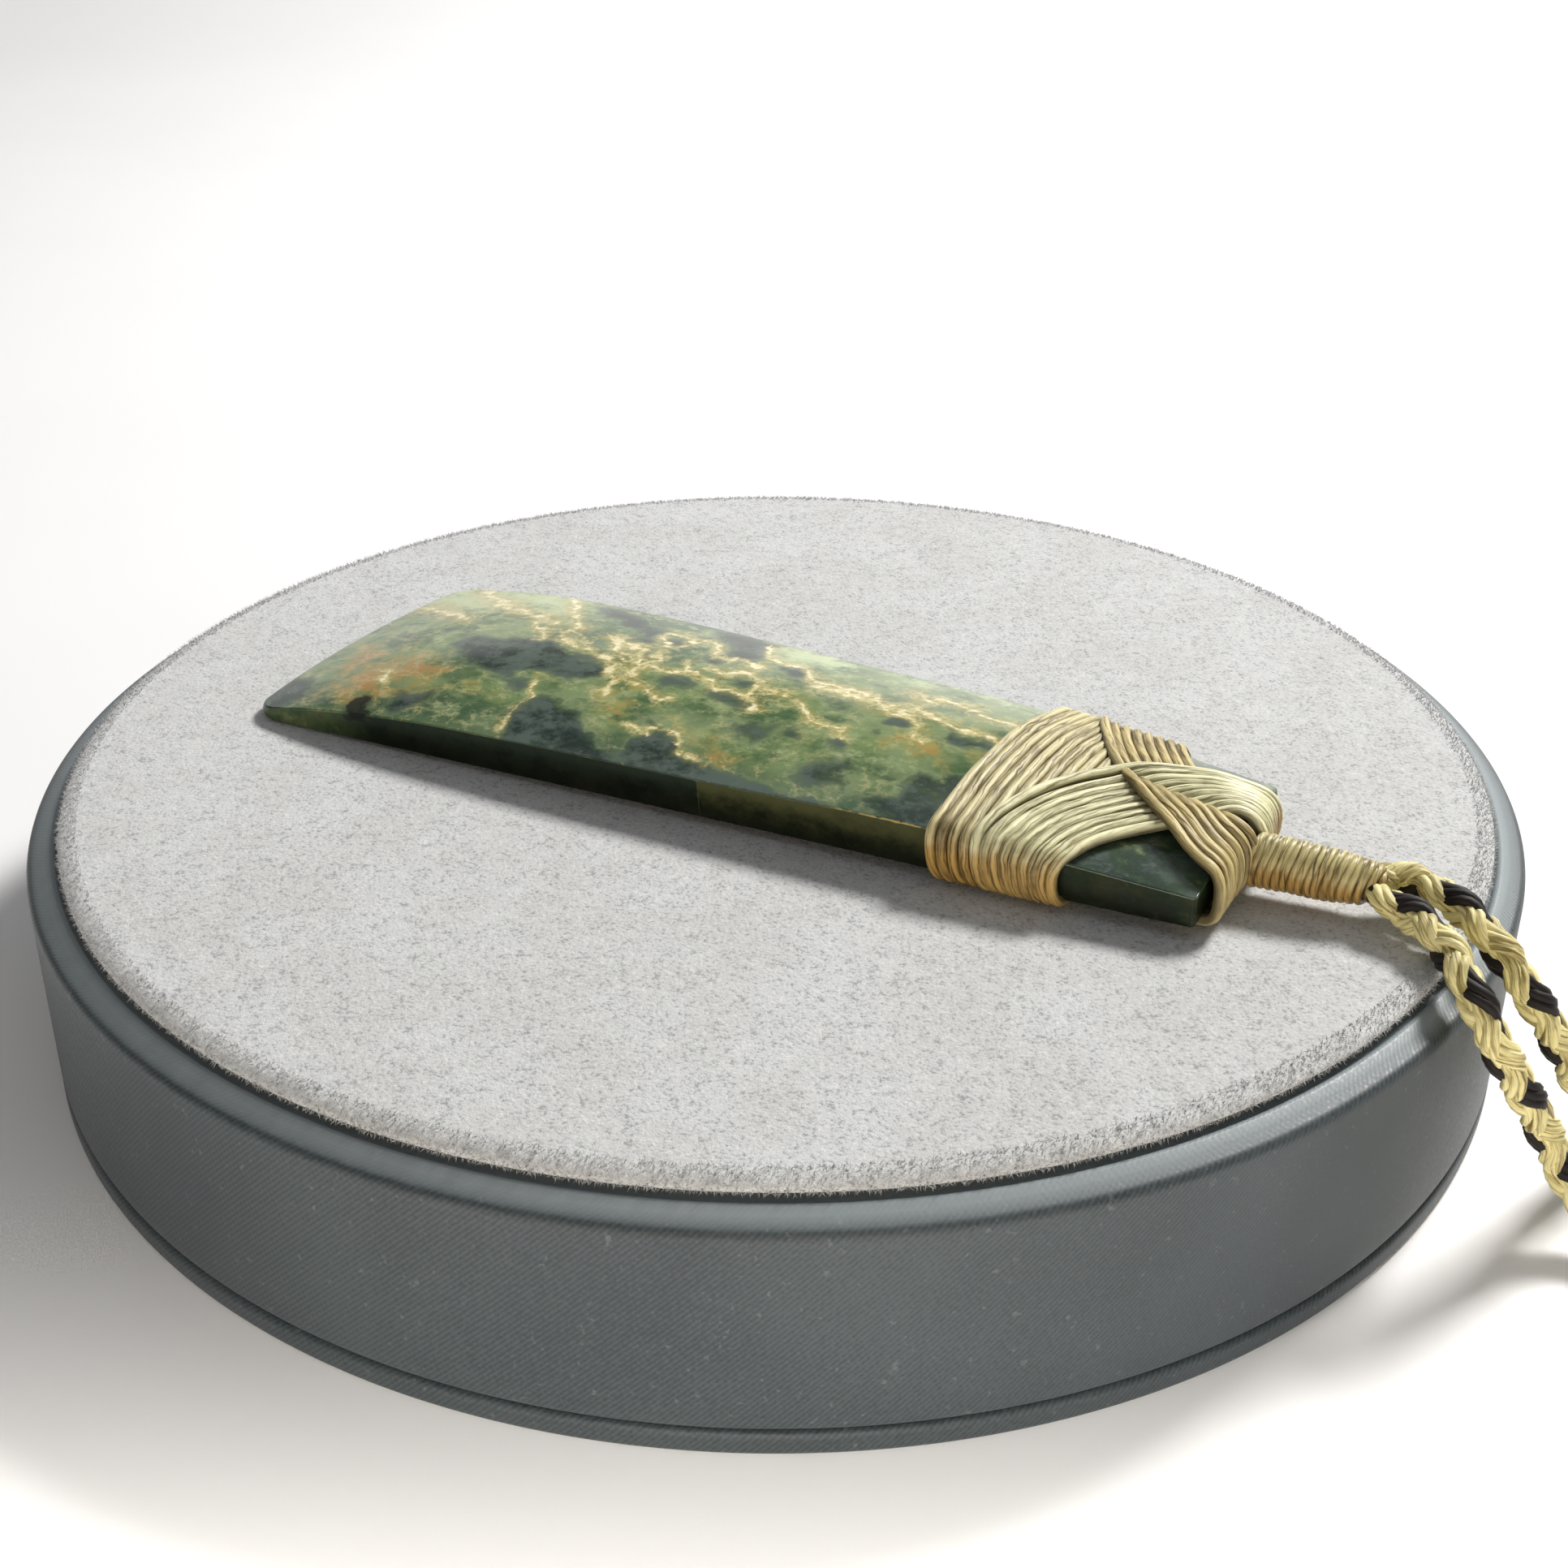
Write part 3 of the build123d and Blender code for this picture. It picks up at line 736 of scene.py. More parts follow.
paleAreas = [
    (1.0, (37.5, 11.5), (39, 12.6), (41, 13), (43, 12.9), (45, 11.2), (46, 9.6), (44.5, 8.2), (42.6, 8.2),
     (41, 7.9), (39.2, 8.2), (38.1, 9.4)),
    (0.66, (43.6, 9.4), (46, 10.2), (49.5, 9.8), (52.5, 7.4), (56.5, 9.4), (66, 8.8), (66, 11.5), (52, 12.3),
     (45.5, 12.6)),
    (0.6, (30.9, 8.5), (33.2, 8.8), (34.3, 7.2), (32.8, 5.8), (31, 6.2)),
    (0.8, (-1, 15), (16, 15), (19, 9), (20, 6), (12, 8.5), (9, 6), (3, 8.4), (-1, 9)),
    (0.55, (18.7, -3), (20.4, -2.8), (21.4, -4.2), (19.4, -4.6)),
    (0.5, (16, -10.8), (19, -9.5), (24.2, -9.4), (24.6, -12.4), (18, -13)),
    (0.52, (26.8, -5), (28.4, -4.4), (30, -6), (27.4, -7)),
    (0.66, (52, -4.8), (53.6, -6.6), (53.6, -8.8), (52, -9), (50.6, -7.8), (52, -7)),
    (0.6, (54.8, -3.2), (57.4, -3), (57.2, -5), (55.4, -4.2)),
    (0.55, (58.6, -4.8), (61.8, -3.6), (61, -6.6), (59.4, -7.8)),
    (0.55, (44.5, -4.8), (47, -5.6), (46.5, -8.6), (45.3, -8)),
    (0.6, (48.4, -6.4), (50.4, -7.2), (53.6, -8.4), (52.8, -9.4), (49.6, -8.6)),
    (0.6, (52.4, -10.2), (56, -9.4), (57.2, -11), (54, -11.2)),
    (0.5, (25, 4), (29, 4), (30, 1), (27, 2)),
]
rustAreas = [
    (0.66, (0.6, -1.5), (3.5, 1.0), (8.0, -1.2), (11.5, -1.6), (15.5, -4.8), (18.5, -8.6), (16.4, -12.2),
     (11, -13.4), (5.5, -13.0), (3.0, -8.0)),
    (1.0, (1.5, -0.5), (4.5, -0.4), (6.4, -3.6), (8.6, -6.8), (9.4, -8.6), (7, -8.2), (4.8, -5.4), (3, -3)),
    (1.0, (10.3, -2.2), (12.4, -3.2), (15, -5.6), (16.6, -8.8), (15, -8), (13, -6), (11, -4.6)),
    (0.7, (11.8, -7.6), (13.2, -8.8), (13.6, -10.6), (12.4, -9.6)),
    (0.55, (0.8, -2), (9, -2), (14, -6.8), (13, -13.4), (5, -14), (4, -9)),
    (0.5, (14.5, -4.8), (19, -5), (21.5, -7.2), (24, -8.2), (23, -10), (17, -9)),
    (0.7, (22.4, -3.6), (24.6, -4.2), (24.8, -5.8), (23.6, -5.4)),
    (0.85, (30.6, -1.4), (32.4, -2.4), (32.2, -3.4), (30.8, -3)),
    (0.9, (30.6, -5), (33.4, -5.8), (34.8, -7.2), (33.6, -8.4), (31.2, -6.8)),
    (0.6, (33, -3.2), (35.4, -3.6), (35, -4.6)),
    (0.95, (39, -6.2), (42, -6.6), (44, -7.6), (46, -9.6), (44.6, -10.4), (42.6, -9), (40.2, -8.2)),
    (0.5, (35.2, -5), (39, -5.2), (44, -6), (43, -8), (38, -7)),
    (0.7, (47.8, -4.2), (49.6, -4.8), (51.2, -6.6), (50, -7.2), (48, -6)),
    (1.0, (55.3, 0.4), (57.6, -0.4), (60.6, -3.4), (60.8, -4.6), (58.6, -3.6), (55.6, -1.6), (54.4, -3.2),
     (53.8, -1.8)),
    (0.95, (60.6, -0.6), (66, -0.8), (66, -2.4), (60.9, -1.8)),
]
veinLines = [  # half width first
    (0.29, (14.2, 14.8), (16, 12), (17.2, 10.2), (18.8, 8.2), (20.2, 6.4), (21, 5.2)),
    (0.26, (20, 5.5), (20, 4.3), (21.3, 2.8), (23, 2), (25, 1.5), (27, 0.9), (28.2, 0), (28.9, -1.6),
     (29.8, -3.2), (30.5, -4.9)),
    (0.19, (20.5, 5.5), (22.4, 4.2), (23.4, 2.9), (22.6, 2.4)),
    (0.36, (24.3, 5.2), (26, 4.6), (27.5, 4.2), (28.8, 3.6), (29.5, 2.4), (29.9, 1.2), (30.1, 0.2),
     (30.1, -1.5), (29.9, -3.4), (30.4, -4.6)),
    (0.22, (25, 4.2), (26.2, 3.4), (27.2, 2.9), (28.4, 2.1), (29, 1.3)),
    (0.17, (26.4, 1.7), (27.8, 1.7), (28.6, 1)),
    (0.24, (30.1, 0.4), (31.5, 1.1), (33, 0.9), (34.2, 1.6), (35.2, 1.4), (36.2, 0.8), (37.2, 0.9), (37.8, 0.1),
     (38.3, -0.4), (39.5, -0.2), (41, -0.4), (41.9, -0.7), (42.6, -1.9)),
    (0.22, (30.2, 4.4), (30.3, 3), (31, 2.8), (30.9, 1.6), (30.2, 0.6)),
    (0.19, (33.3, 3.2), (34, 2.1), (35, 1.5)),
    (0.24, (35.2, 2.9), (36.6, 3.2), (37.6, 2.6), (38.2, 3.4), (38.7, 4.1), (40.2, 3.1), (41.2, 1.6), (41, 0.4),
     (41.6, -0.6)),
    (0.2, (41.2, 1.8), (42.2, 1.6), (43.4, 1.9), (43.8, 1.4), (42.4, 0.9)),
    (0.24, (28, 8.5), (29.4, 9.4), (30.6, 8.8), (31, 7.6), (31.6, 8.7), (32.6, 9), (33.4, 8.4), (34.2, 7),
     (34.9, 5.7), (36.2, 5.9), (38, 6.2), (39, 5.5)),
    (0.22, (28.2, 8.4), (28.6, 7), (29.6, 5.8), (30.8, 5.9), (31.2, 6.6)),
    (0.24, (37, 11.3), (37.6, 9.4), (38.4, 8.2), (39.6, 7.5), (40.6, 7.4), (41.8, 7.6), (42.8, 7.3),
     (43.6, 6.2), (44.4, 5.2), (45.2, 4.9), (46.4, 5.2), (48, 5), (49.3, 4.6), (50.2, 4.8), (50.6, 3.6),
     (51.4, 3), (52.6, 2.4), (53.8, 2.2), (54.8, 2), (55.4, 1.1), (56.2, -0.2), (57.4, -1.6)),
    (0.4, (45, 4.2), (47, 4.4), (49.4, 3.8), (52, 3.2), (54.6, 2.9)),
    (0.19, (45, 1.2), (45.4, 0.4), (46.4, -0.6), (47.1, -1.3), (48.6, -2), (49.8, -2.4), (50.5, -2),
     (50.6, -2.8), (51.5, -3.2)),
    (0.17, (31.4, -1.9), (32.6, -2.6), (33.9, -3.4), (34.8, -3.9), (35.6, -3.2)),
    (0.3, (52.6, 7.8), (54, 6.4), (55.2, 6.8), (57, 7.2), (58.6, 6.2), (60, 5.6), (64, 5.2)),
    (0.26, (54, 4.4), (56.6, 3.1), (59, 2.4), (64, 1.6)),
    (0.43, (1.5, 8.5), (4.4, 7.6), (6.6, 6.4), (9, 5.3)),
    (0.4, (7.5, 11.5), (10, 9.5), (13, 8.2), (16, 7.4), (18, 6.2)),
    (0.4, (5, 13.5), (8.5, 11.2), (11, 9.8)),
    (0.23, (16.3, 5.6), (18, 4.2), (19.6, 2.4), (18.8, 1.6)),
    (0.12, (23.3, -4.2), (24, -5.6), (24.6, -7.5), (24.7, -9.6), (25.2, -12.3)),
    (0.16, (34.8, -8.2), (36.8, -8.8), (37.2, -7.6), (38.6, -7.7), (39.6, -8.8), (40.4, -10), (43, -10.6)),
    (0.16, (9.3, -6.6), (10.4, -8.2), (11.8, -9.6)),
]


def wandered(plan, size, amount, seed):  # plan points shaken by cloudy noise, so that outlines look grown
    shake = [noise.turbulence_vector(Vector((x / size, y / size, seed)), 4, False, amplitude_scale=0.55,
                                     frequency_scale=2.1) for x, y in plan]
    return plan + amount * np.array(shake)[:, :2]


def nearestOn(points, a, b):  # distance from each point to the stretch from a to b
    d = b - a
    t = np.clip(((points - a) @ d) / (d @ d), 0, 1)
    return np.linalg.norm(points - (a + t[:, None] * d), axis=1)


def insideDistance(points, outline):  # distance to the outline, positive inside
    outline = np.asarray(outline, float)
    best = np.full(len(points), 1e9)
    inside = np.zeros(len(points), bool)
    for a, b in zip(outline, np.roll(outline, -1, axis=0)):
        d = b - a
        best = np.minimum(best, nearestOn(points, a, b))
        crosses = (a[1] > points[:, 1]) != (b[1] > points[:, 1])
        at = a[0] + (points[:, 1] - a[1]) * d[0] / (d[1] if abs(d[1]) > 1e-9 else 1e-9)
        inside ^= crosses & (points[:, 0] < at)
    return np.where(inside, best, -best)


def areaField(points, areas, soft):  # 0.5 on an outline, towards its strength inside
    field = np.zeros(len(points))
    for strength, *outline in areas:
        edge = 0.5 + np.clip(insideDistance(points, outline) / soft, -1, 1) * 0.5
        field = np.maximum(field, edge * strength)
    return field


def veinReach(points):  # distance to the nearest vein, in half widths of that vein
    reach = np.full(len(points), 1e9)
    for width, *line in veinLines:
        line = np.asarray(line, float)
        for a, b in zip(line, line[1:]):
            reach = np.minimum(reach, nearestOn(points, a, b) / width)
    return reach


jadeTones = {
    "green": ("#47613f", "#758a5a"), "slate": ("#222e2a", "#52605a"), "slateRim": "#b9bd92",
    # spacing in mm, detail, roughness and seed of a noise, where it starts and where it is full, its share and tone
    "clouds": [
        (8.0, 4.0, 0.55, 11.0, 0.44, 0.62, 0.65, "#8f9f74"), (2.8, 5.0, 0.62, 15.0, 0.54, 0.66, 0.60, "#354d3a"),
        (3.1, 6.0, 0.64, 21.0, 0.53, 0.68, 0.60, "#a9b584"), (1.3, 5.0, 0.66, 33.0, 0.56, 0.70, 0.50, "#bcc596"),
    ],
    # layer and its part, how much it is shaken, where it starts and where it is full, its share and tone
    "marks": [
        ("haze", 1, 0.8, 0.25, 0.95, 0.60, "#39523f"), ("figure", 1, 1.4, 0.30, 0.92, 0.92, "#bccb9b"),
        ("figure", 2, 1.9, 0.22, 0.95, 0.80, "#9d904e"), ("figure", 2, 1.5, 0.56, 0.98, 0.75, "#b2743c"),
        ("haze", 0, 1.7, 0.30, 0.95, 0.58, "#a89c5c"),
    ],
    "threads": ("#c3bd8a", "#ddd3a0"), "veinRim": "#c9bd80", "vein": ("#dccb8e", "#f3ecc8"), "flaw": "#0c0f0b",
    # the side tones are painted shade, darkest at the foot; the olive side is painted warm light; the glint is a
    # painted highlight
    "side": ("#010301", "#0f2014"), "warmLitSide": ("#0b0d05", "#4a4b29"), "glint": "#bfae68",
}


def jadeMaterial(name, specular, rough):
    material, tree, node, surface = newMaterial(name)
    place = addNode(tree, "ShaderNodeTexCoord").outputs["Object"]
    turned = addNode(tree, "ShaderNodeMapping", {},
                     {"Vector": place, "Rotation": (0, 0, math.radians(29))}).outputs[0]
    stretched = addNode(tree, "ShaderNodeMapping", {}, {"Vector": turned, "Scale": (0.8, 1.0, 1.0)}).outputs[0]
    layers = {layer: addNode(tree, "ShaderNodeSeparateXYZ", {}, {
        0: addNode(tree, "ShaderNodeAttribute", {"attribute_name": layer}).outputs["Vector"]}).outputs
        for layer in ("figure", "veins", "flank", "haze")}
    figure, veins, flank, haze = layers.values()
    cloud = node("noise", stretched, spaced(5.5), 4.0, 0.58, 1.0)
    mottle = node("noise", stretched, spaced(1.7), 6.0, 0.64, 3.0)
    grain = node("noise", stretched, spaced(0.5), 4.0, 0.65, 7.0)

    def swung(value, amount):  # a value from 0 to 1 as a swing to both sides of 0
        return node("MULTIPLY", node("SUBTRACT", value, 0.5), amount)

    ragged = node("ADD", node("SUBTRACT", mottle, 0.5), swung(grain, 0.4))

    def shaken(value, amount):
        return node("ADD", value, node("MULTIPLY", ragged, amount))

    def tinted(body, factor, colour):
        return node("blend", factor, body, linear(colour))

    def pairOf(factor, tones):  # from the first tone to the second
        return node("blend", factor, *[linear(tone) for tone in jadeTones[tones]])

    # cloudy greens from forest green to sage, then pale patches, olive-gold stain and its redder hearts
    body = pairOf(node("between", shaken(cloud, 0.7), 0.36, 0.64), "green")
    for size, detail, soft, seed, low, high, share, colour in jadeTones["clouds"]:
        here = node("noise", stretched, spaced(size), detail, soft, seed)
        body = tinted(body, node("between", here, low, high, share), colour)
    for layer, part, amount, low, high, share, colour in jadeTones["marks"]:
        body = tinted(body, node("between", shaken(layers[layer][part], amount), low, high, share), colour)
    # slate clouds with soft ragged edges
    slateHere = shaken(figure[0], 1.25)
    slateRim = node("MULTIPLY", node("between", slateHere, 0.20, 0.36), node("between", slateHere, 0.50, 0.38, 0.12))
    body = tinted(body, slateRim, jadeTones["slateRim"])
    slateTone = pairOf(node("between", shaken(cloud, 1.3), 0.32, 0.68), "slate")
    body = node("blend", node("between", slateHere, 0.28, 0.78, 0.94), body, slateTone)
    offSlate = node("between", slateHere, 0.60, 0.38)
    # fine cream threads in the haze round the veins, then the veins' own broken bright cores
    ridge = node("ABSOLUTE", node("SUBTRACT", node("noise", stretched, spaced(1.9), 5.0, 0.66, 14.0), 0.5))
    web = node("between", ridge, 0.045, 0.0)
    strayWeb = node("MULTIPLY", web, node("between", mottle, 0.44, 0.60))
    strayHere = node("MULTIPLY", strayWeb, node("MULTIPLY", veins[2], offSlate))
    body = tinted(body, node("MULTIPLY", strayHere, 0.45), jadeTones["threads"][0])
    hazeWeb = node("MULTIPLY", web, node("between", haze[0], 0.35, 0.85))
    body = tinted(body, node("MULTIPLY", hazeWeb, node("MULTIPLY", offSlate, 0.5)), jadeTones["threads"][1])
    fray = swung(node("noise", stretched, spaced(0.95), 5.0, 0.68, 17.0), 2.3)
    frayed = node("MULTIPLY", node("ADD", fray, node("MULTIPLY", ragged, 0.9)), node("between", haze[0], 0.2, 0.7))
    veinHere = node("ADD", veins[0], frayed)
    body = tinted(body, node("between", veinHere, 0.22, 0.85, 0.62), jadeTones["veinRim"])
    body = node("blend", node("between", veinHere, 0.62, 0.98, 0.95), body,
                pairOf(node("between", grain, 0.35, 0.62), "vein"))
    # the sides, with painted shade: nearly black at the foot, forest green or olive towards the upper edge; the olive
    # is painted warm light and the glint a painted highlight line
    rise = shaken(haze[2], 0.9)
    body = node("blend", node("between", shaken(flank[0], 0.4), 0.25, 0.7, 0.96), body,
                pairOf(node("between", rise, 0.30, 1.05), "side"))
    body = node("blend", node("between", shaken(flank[1], 0.3), 0.30, 0.55, 0.96), body,
                pairOf(node("between", rise, 0.20, 1.0), "warmLitSide"))
    speckled = node("MULTIPLY", flank[2], node("ADD", swung(grain, 3.2), 0.75))
    body = tinted(body, node("between", speckled, 0.42, 0.76, 0.85), jadeTones["glint"])
    body = tinted(body, node("between", shaken(veins[1], 1.6), 0.40, 0.75, 0.92), jadeTones["flaw"])
    waves = node("noise", turned, spaced(9.0), 2.0, 0.4, 4.0)
    setSockets(surface, {
        "Base Color": body, "IOR": 1.61, "Specular IOR Level": specular,
        "Roughness": node("between", mottle, 0.3, 0.8, rough + 0.09, rough),
        "Subsurface Weight": 0.05, "Subsurface Radius": (0.6, 1.0, 0.5), "Subsurface Scale": 0.0010,
        "Normal": node("bump", waves, 0.06 * mm)})
    return material


def makeStone():
    points, faces, sides = makeStoneMesh(stoneSizes["rows"], stoneSizes["columns"])
    # polished nephrite: a wet-looking gloss over cloudy green, with slate clouds, cream veins and rust stains
    polished = jadeMaterial("polished nephrite", 0.5, 0.13)
    # the ground sides and foot were only oiled: the same stone, darker and less glossy
    ground = jadeMaterial("ground nephrite side", 0.12, 0.26)
    piece = meshPiece("stone_polished", laid(points), faces, [polished, ground])
    piece.data.polygons.foreach_set("material_index", [0] * sides + [1] * (len(faces) - sides))
    plan = points[:, :2]
    x, y = plan[:, 0], plan[:, 1]
    slate = areaField(wandered(plan, 2.6, 0.75, 1.0), slateAreas, 1.3)
    pale = areaField(wandered(plan, 3.0, 0.90, 5.0), paleAreas, 2.2)
    rust = areaField(wandered(plan, 3.4, 1.20, 9.0), rustAreas, 2.6)
    reach = veinReach(wandered(wandered(plan, 1.9, 0.62, 13.0), 0.7, 0.20, 23.0))
    mark = areaField(wandered(plan, 2.0, 0.4, 17.0), markAreas, 0.8)
    wall = stoneTop(x, y) - stoneSizes["bottomCrown"]
    below = stoneTop(x, y) - points[:, 2]
    depth = smoothStep((below - 0.02) / 0.16)
    near = np.where(y < 0, 1.0, 0.0)
    # painted shade on the sides, strongest on the near side
    deep = depth * np.where(near > 0, smoothStep((x - 4) / 22) * 0.55 + 0.45, 0.55)
    # painted warm light on the near side, from x 43.2 to 66 and again past x 69
    brown = near * smoothStep((x - 43.2) / 0.8) * smoothStep((66 - x) / 2) * depth
    brown = np.maximum(brown, 0.36 * near * smoothStep((x - 69) / 3) * depth)
    # a thin painted highlight line just under the near upper edge, from x 43.4 to 64
    lineDepth = 0.07 + 0.13 * smoothStep((x - 53) / 7)
    glint = near * smoothStep((x - 43.4) / 1.0) * smoothStep((64 - x) / 1.0)
    glint = glint * smoothStep((below - 0.005) / 0.03) * smoothStep((lineDepth - below) / 0.06)
    onTop = (1 - depth) * smoothStep((70 - x) / 3)
    layers = {
        "figure": (np.where(depth > 0.5, 0.25, slate), pale, rust),
        "veins": (np.clip(1 - reach / 2.4, 0, 1) * onTop, mark * (1 - smoothStep((below - 0.2) / 1.6)),
                  (1 - depth) * smoothStep((62 - x) / 6)),
        "flank": (deep * (1 - brown), brown, glint),
        # the haze's last part, how far up the side a point lies, darkens the sides towards the foot as painted shade
        "haze": (np.clip(1 - reach / 8.5, 0, 1) * onTop, smoothStep((-y - 5.5) / 6.5) * (1 - depth),
                 np.clip(1 - below / wall, 0, 1)),
    }
    for layer, columns in layers.items():
        data = piece.data.attributes.new(layer, "FLOAT_VECTOR", "POINT")
        data.data.foreach_set("vector", np.stack(columns, 1).astype(np.float32).ravel())
    return piece


stone = makeStone()
settle(stone, "stone_blade", finish="jade")
say("stone")


# lashing: turns straight across, and two families that cross on top and go over the butt

lashSizes = {
    "thread": 0.88, "sides": 10, "lift": 0.72, "gap": 0.02, "step": 0.32, "bulge": 0.27, "stray": 0.07,
    "buttLift": 0.58, "flatten": 0.30, "wholeTurns": 4, "allTurns": 11, "spacing": 0.885,
    "crossOver": 3.8, "crossSoft": 3.2,  # a turn starts to rise this near to a crossing one, over this distance
}
guideBox = {"side": 16.0, "top": 9.0, "under": -5.0, "butt": 88.0, "end": 79.5}  # guides run this far off the stone
straightTurn = [(63.2, -11.5), (63.2, -5.0), (63.5, 4.5), (64.6, 11.4)]
nearFamily = {  # from the near side to the far corner of the butt: outermost and innermost turn
    "count": 9,
    "first": [(66.7, -11.6), (67.2, -8.4), (68.6, -4.9), (70.6, -1.4), (72.5, 1.2), (74.9, 3.2), (77.5, 4.2),
              (80.2, 4.9), (82.5, 5.5)],
    "last": [(73.3, -11.6), (73.9, -9.2), (75.3, -7.1), (77.4, -4.7), (78.6, -3.5), (79.8, -2.4), (80.8, -1.6),
             (81.7, -0.9), (82.5, -0.3)],
}
farFamily = {
    "count": 8,
    "first": [(68.0, 11.6), (69.3, 7.9), (71.0, 4.5), (72.5, 2.0), (75.4, -1.2), (78.4, -4.1), (80.6, -6.2),
              (82.5, -7.8)],
    "last": [(74.6, 11.3), (75.5, 9.0), (76.6, 6.9), (78.0, 4.7), (79.6, 2.4), (80.9, 0.6), (81.8, -0.5),
             (82.5, -1.2)],
}
seamLine = ((72.6, 1.35), (82.4, -1.6))  # where the two families change places


def planLine(points, step=0.25):
    return spacedOut(np.c_[np.asarray(points, float), np.zeros(len(points))], step)[:, :2]


def familyLine(family, k):
    share = k / (family["count"] - 1)
    first, last = np.array(family["first"]), np.array(family["last"])
    raw = first + (last - first) * share
    dense = planLine(raw, 0.4)
    return softened(np.c_[dense, np.zeros(len(dense))], 8)[:, :2]


def crossingsWith(line, others):  # nearest approach of every other line to each point
    reach = np.full(len(line), 1e9)
    for other in others:
        gap = np.linalg.norm(line[:, None] - other[None], axis=2).min(1)
        reach = np.minimum(reach, gap)
    return reach


def seamSide(plan):  # positive on the far side of the seam
    (ax, ay), (bx, by) = seamLine
    return plan[:, 1] - (ay + (plan[:, 0] - ax) * (by - ay) / (bx - ax))


def stoneShell():  # the stone's surface in its own frame, to lay thread on
    points, faces, _ = makeStoneMesh(160, 60)
    return BVHTree.FromPolygons([Vector(p) for p in points], faces)


shell = stoneShell()


def layOn(guide, lifts, seed):  # guide points well outside the stone come down to the thread's own height off it
    s = lashSizes
    clear = s["thread"] / 2 + s["gap"]

    def squeezed(down):  # the turns under the stone are pressed into it
        return s["flatten"] * float(smoothStep((down - 0.5) / 0.4))

    line = []
    for point, lift in zip(guide, lifts):
        stray = noise.noise(Vector((point[1] / 5, point[2] / 5, seed * 3.7))) * s["stray"]
        point = Vector(point) + Vector((stray, 0, 0))
        spot = shell.find_nearest(point)[0]
        away = (point - spot).normalized()
        bulge = s["bulge"] * math.exp(-((spot.z - 2.4) / 1.7) ** 2) * (0.35 + 0.65 * abs(away.y))
        butt = s["buttLift"] * float(smoothStep((spot.x - 75.5) / 6.5)) * float(smoothStep((away.z + 1.0) / 0.7))
        line.append(spot + away * (clear + lift + bulge + butt - squeezed(-away.z)))
    line = spacedOut(np.array(line), 0.2)
    for passes in (18, 9):  # round the corners, and bring what that pulls into the stone back out
        line = softened(line, passes)
        for k, point in enumerate(line):
            spot, away, _, reach = shell.find_nearest(Vector(point))
            least = clear - squeezed(-away.z)
            if reach < least:
                line[k] = spot + away * least
    return softened(spacedOut(softened(line, 4), s["step"]), 2)


def guideThrough(corners):
    return spacedOut(np.array(corners, float), 0.12)


def sideGuide(x, side, under, middle, foot):  # from the top edge down and under, at x, then moved by middle and foot
    g = guideBox
    y = g["side"] * side
    low = g["under"]
    return guideThrough([(x, y, g["top"]), (x + middle, y, 2.0), (x + foot, y, low), (x + foot, under, low)])


def overTop(plan):
    return np.c_[plan, np.full(len(plan), guideBox["top"])]


def joinGuides(parts):
    guide = np.vstack([p for p, _ in parts])
    lifts = np.concatenate([l if isinstance(l, np.ndarray) else np.full(len(p), l) for p, l in parts])
    return guide, lifts


def straightRow(k):
    return np.array(straightTurn) + np.array((lashSizes["spacing"] * k, 0.0))


def straightTurns():
    paths = []
    side = guideBox["side"]
    inner = familyLine(nearFamily, 0)
    outer = familyLine(farFamily, 0)
    for k in range(lashSizes["allTurns"]):
        row = straightRow(k)
        (startX, _), (stopX, _) = row[0], row[-1]
        farSide = sideGuide(stopX, 1, 0.0, 0.5, 0.9)
        if k < lashSizes["wholeTurns"]:
            top = planLine(np.vstack([[(startX, -side)], row, [(stopX, side)]]))
            parts = [(sideGuide(startX, -1, 0.0, 0.0, 0.6)[::-1], 0.0), (overTop(top), 0.0), (farSide, 0.0)]
        else:  # part turns end under the families that cross on top
            top = planLine(row)
            beyond = np.interp(top[:, 1], inner[:, 1], inner[:, 0]) + 0.1
            hidden = np.interp(top[:, 1], outer[::-1, 1], outer[::-1, 0]) + 0.5
            top = top[(top[:, 0] < beyond) & (top[:, 0] < hidden)]
            if len(top) < 12:
                continue
            parts = [(overTop(top), 0.0)]
            if top[-1, 1] > 11.3:
                parts += [(np.array([(top[-1, 0], side, guideBox["top"])]), 0.0), (farSide, 0.0)]
        guide, lifts = joinGuides(parts)
        paths.append(layOn(guide, lifts, k))
    return paths


def crossingTurns(family, other, side):
    s, g = lashSizes, guideBox
    otherLines = [familyLine(other, k) for k in range(other["count"])]
    fill = [planLine(straightRow(k)) for k in range(s["wholeTurns"], s["allTurns"])]
    paths = []
    for k in range(family["count"]):
        line = familyLine(family, k)
        x, y = line[0]
        plan = planLine(np.vstack([[(x, g["side"] * side)], line, [(g["butt"], line[-1, 1])]]))
        onStone = np.c_[np.minimum(plan[:, 0], stoneSizes["length"]), plan[:, 1]]
        covered = crossingsWith(onStone, otherLines)
        over = smoothStep((seamSide(onStone) * -side + 0.25) / 0.5)
        over = over * smoothStep((s["crossOver"] - covered) / s["crossSoft"])
        if k == 0:
            over = np.maximum(over, 0.55 * smoothStep((1.1 - crossingsWith(onStone, fill)) / 0.8))
        lifts = np.convolve(np.pad(over, 3, "edge"), np.full(7, 1 / 7), "valid") * s["lift"]
        y = plan[-1, 1]
        down = guideThrough([(g["butt"], y, g["top"]), (g["butt"], y, g["under"]), (g["end"], y, g["under"])])
        share = k / (family["count"] - 1)
        middle, foot = (-0.85 * share, 0.9 - 1.35 * share) if side < 0 else (0.5, 0.9)
        guide, lifts = joinGuides([
            (sideGuide(x, side, 0.5 * side, middle, foot)[::-1], 0.0), (overTop(plan), lifts),
            (down, smoothStep((down[:, 2] + 0.5) / 3.0) * lifts[-1])])
        paths.append(layOn(guide, lifts, 20 + k + 20 * (side > 0)))
    return paths


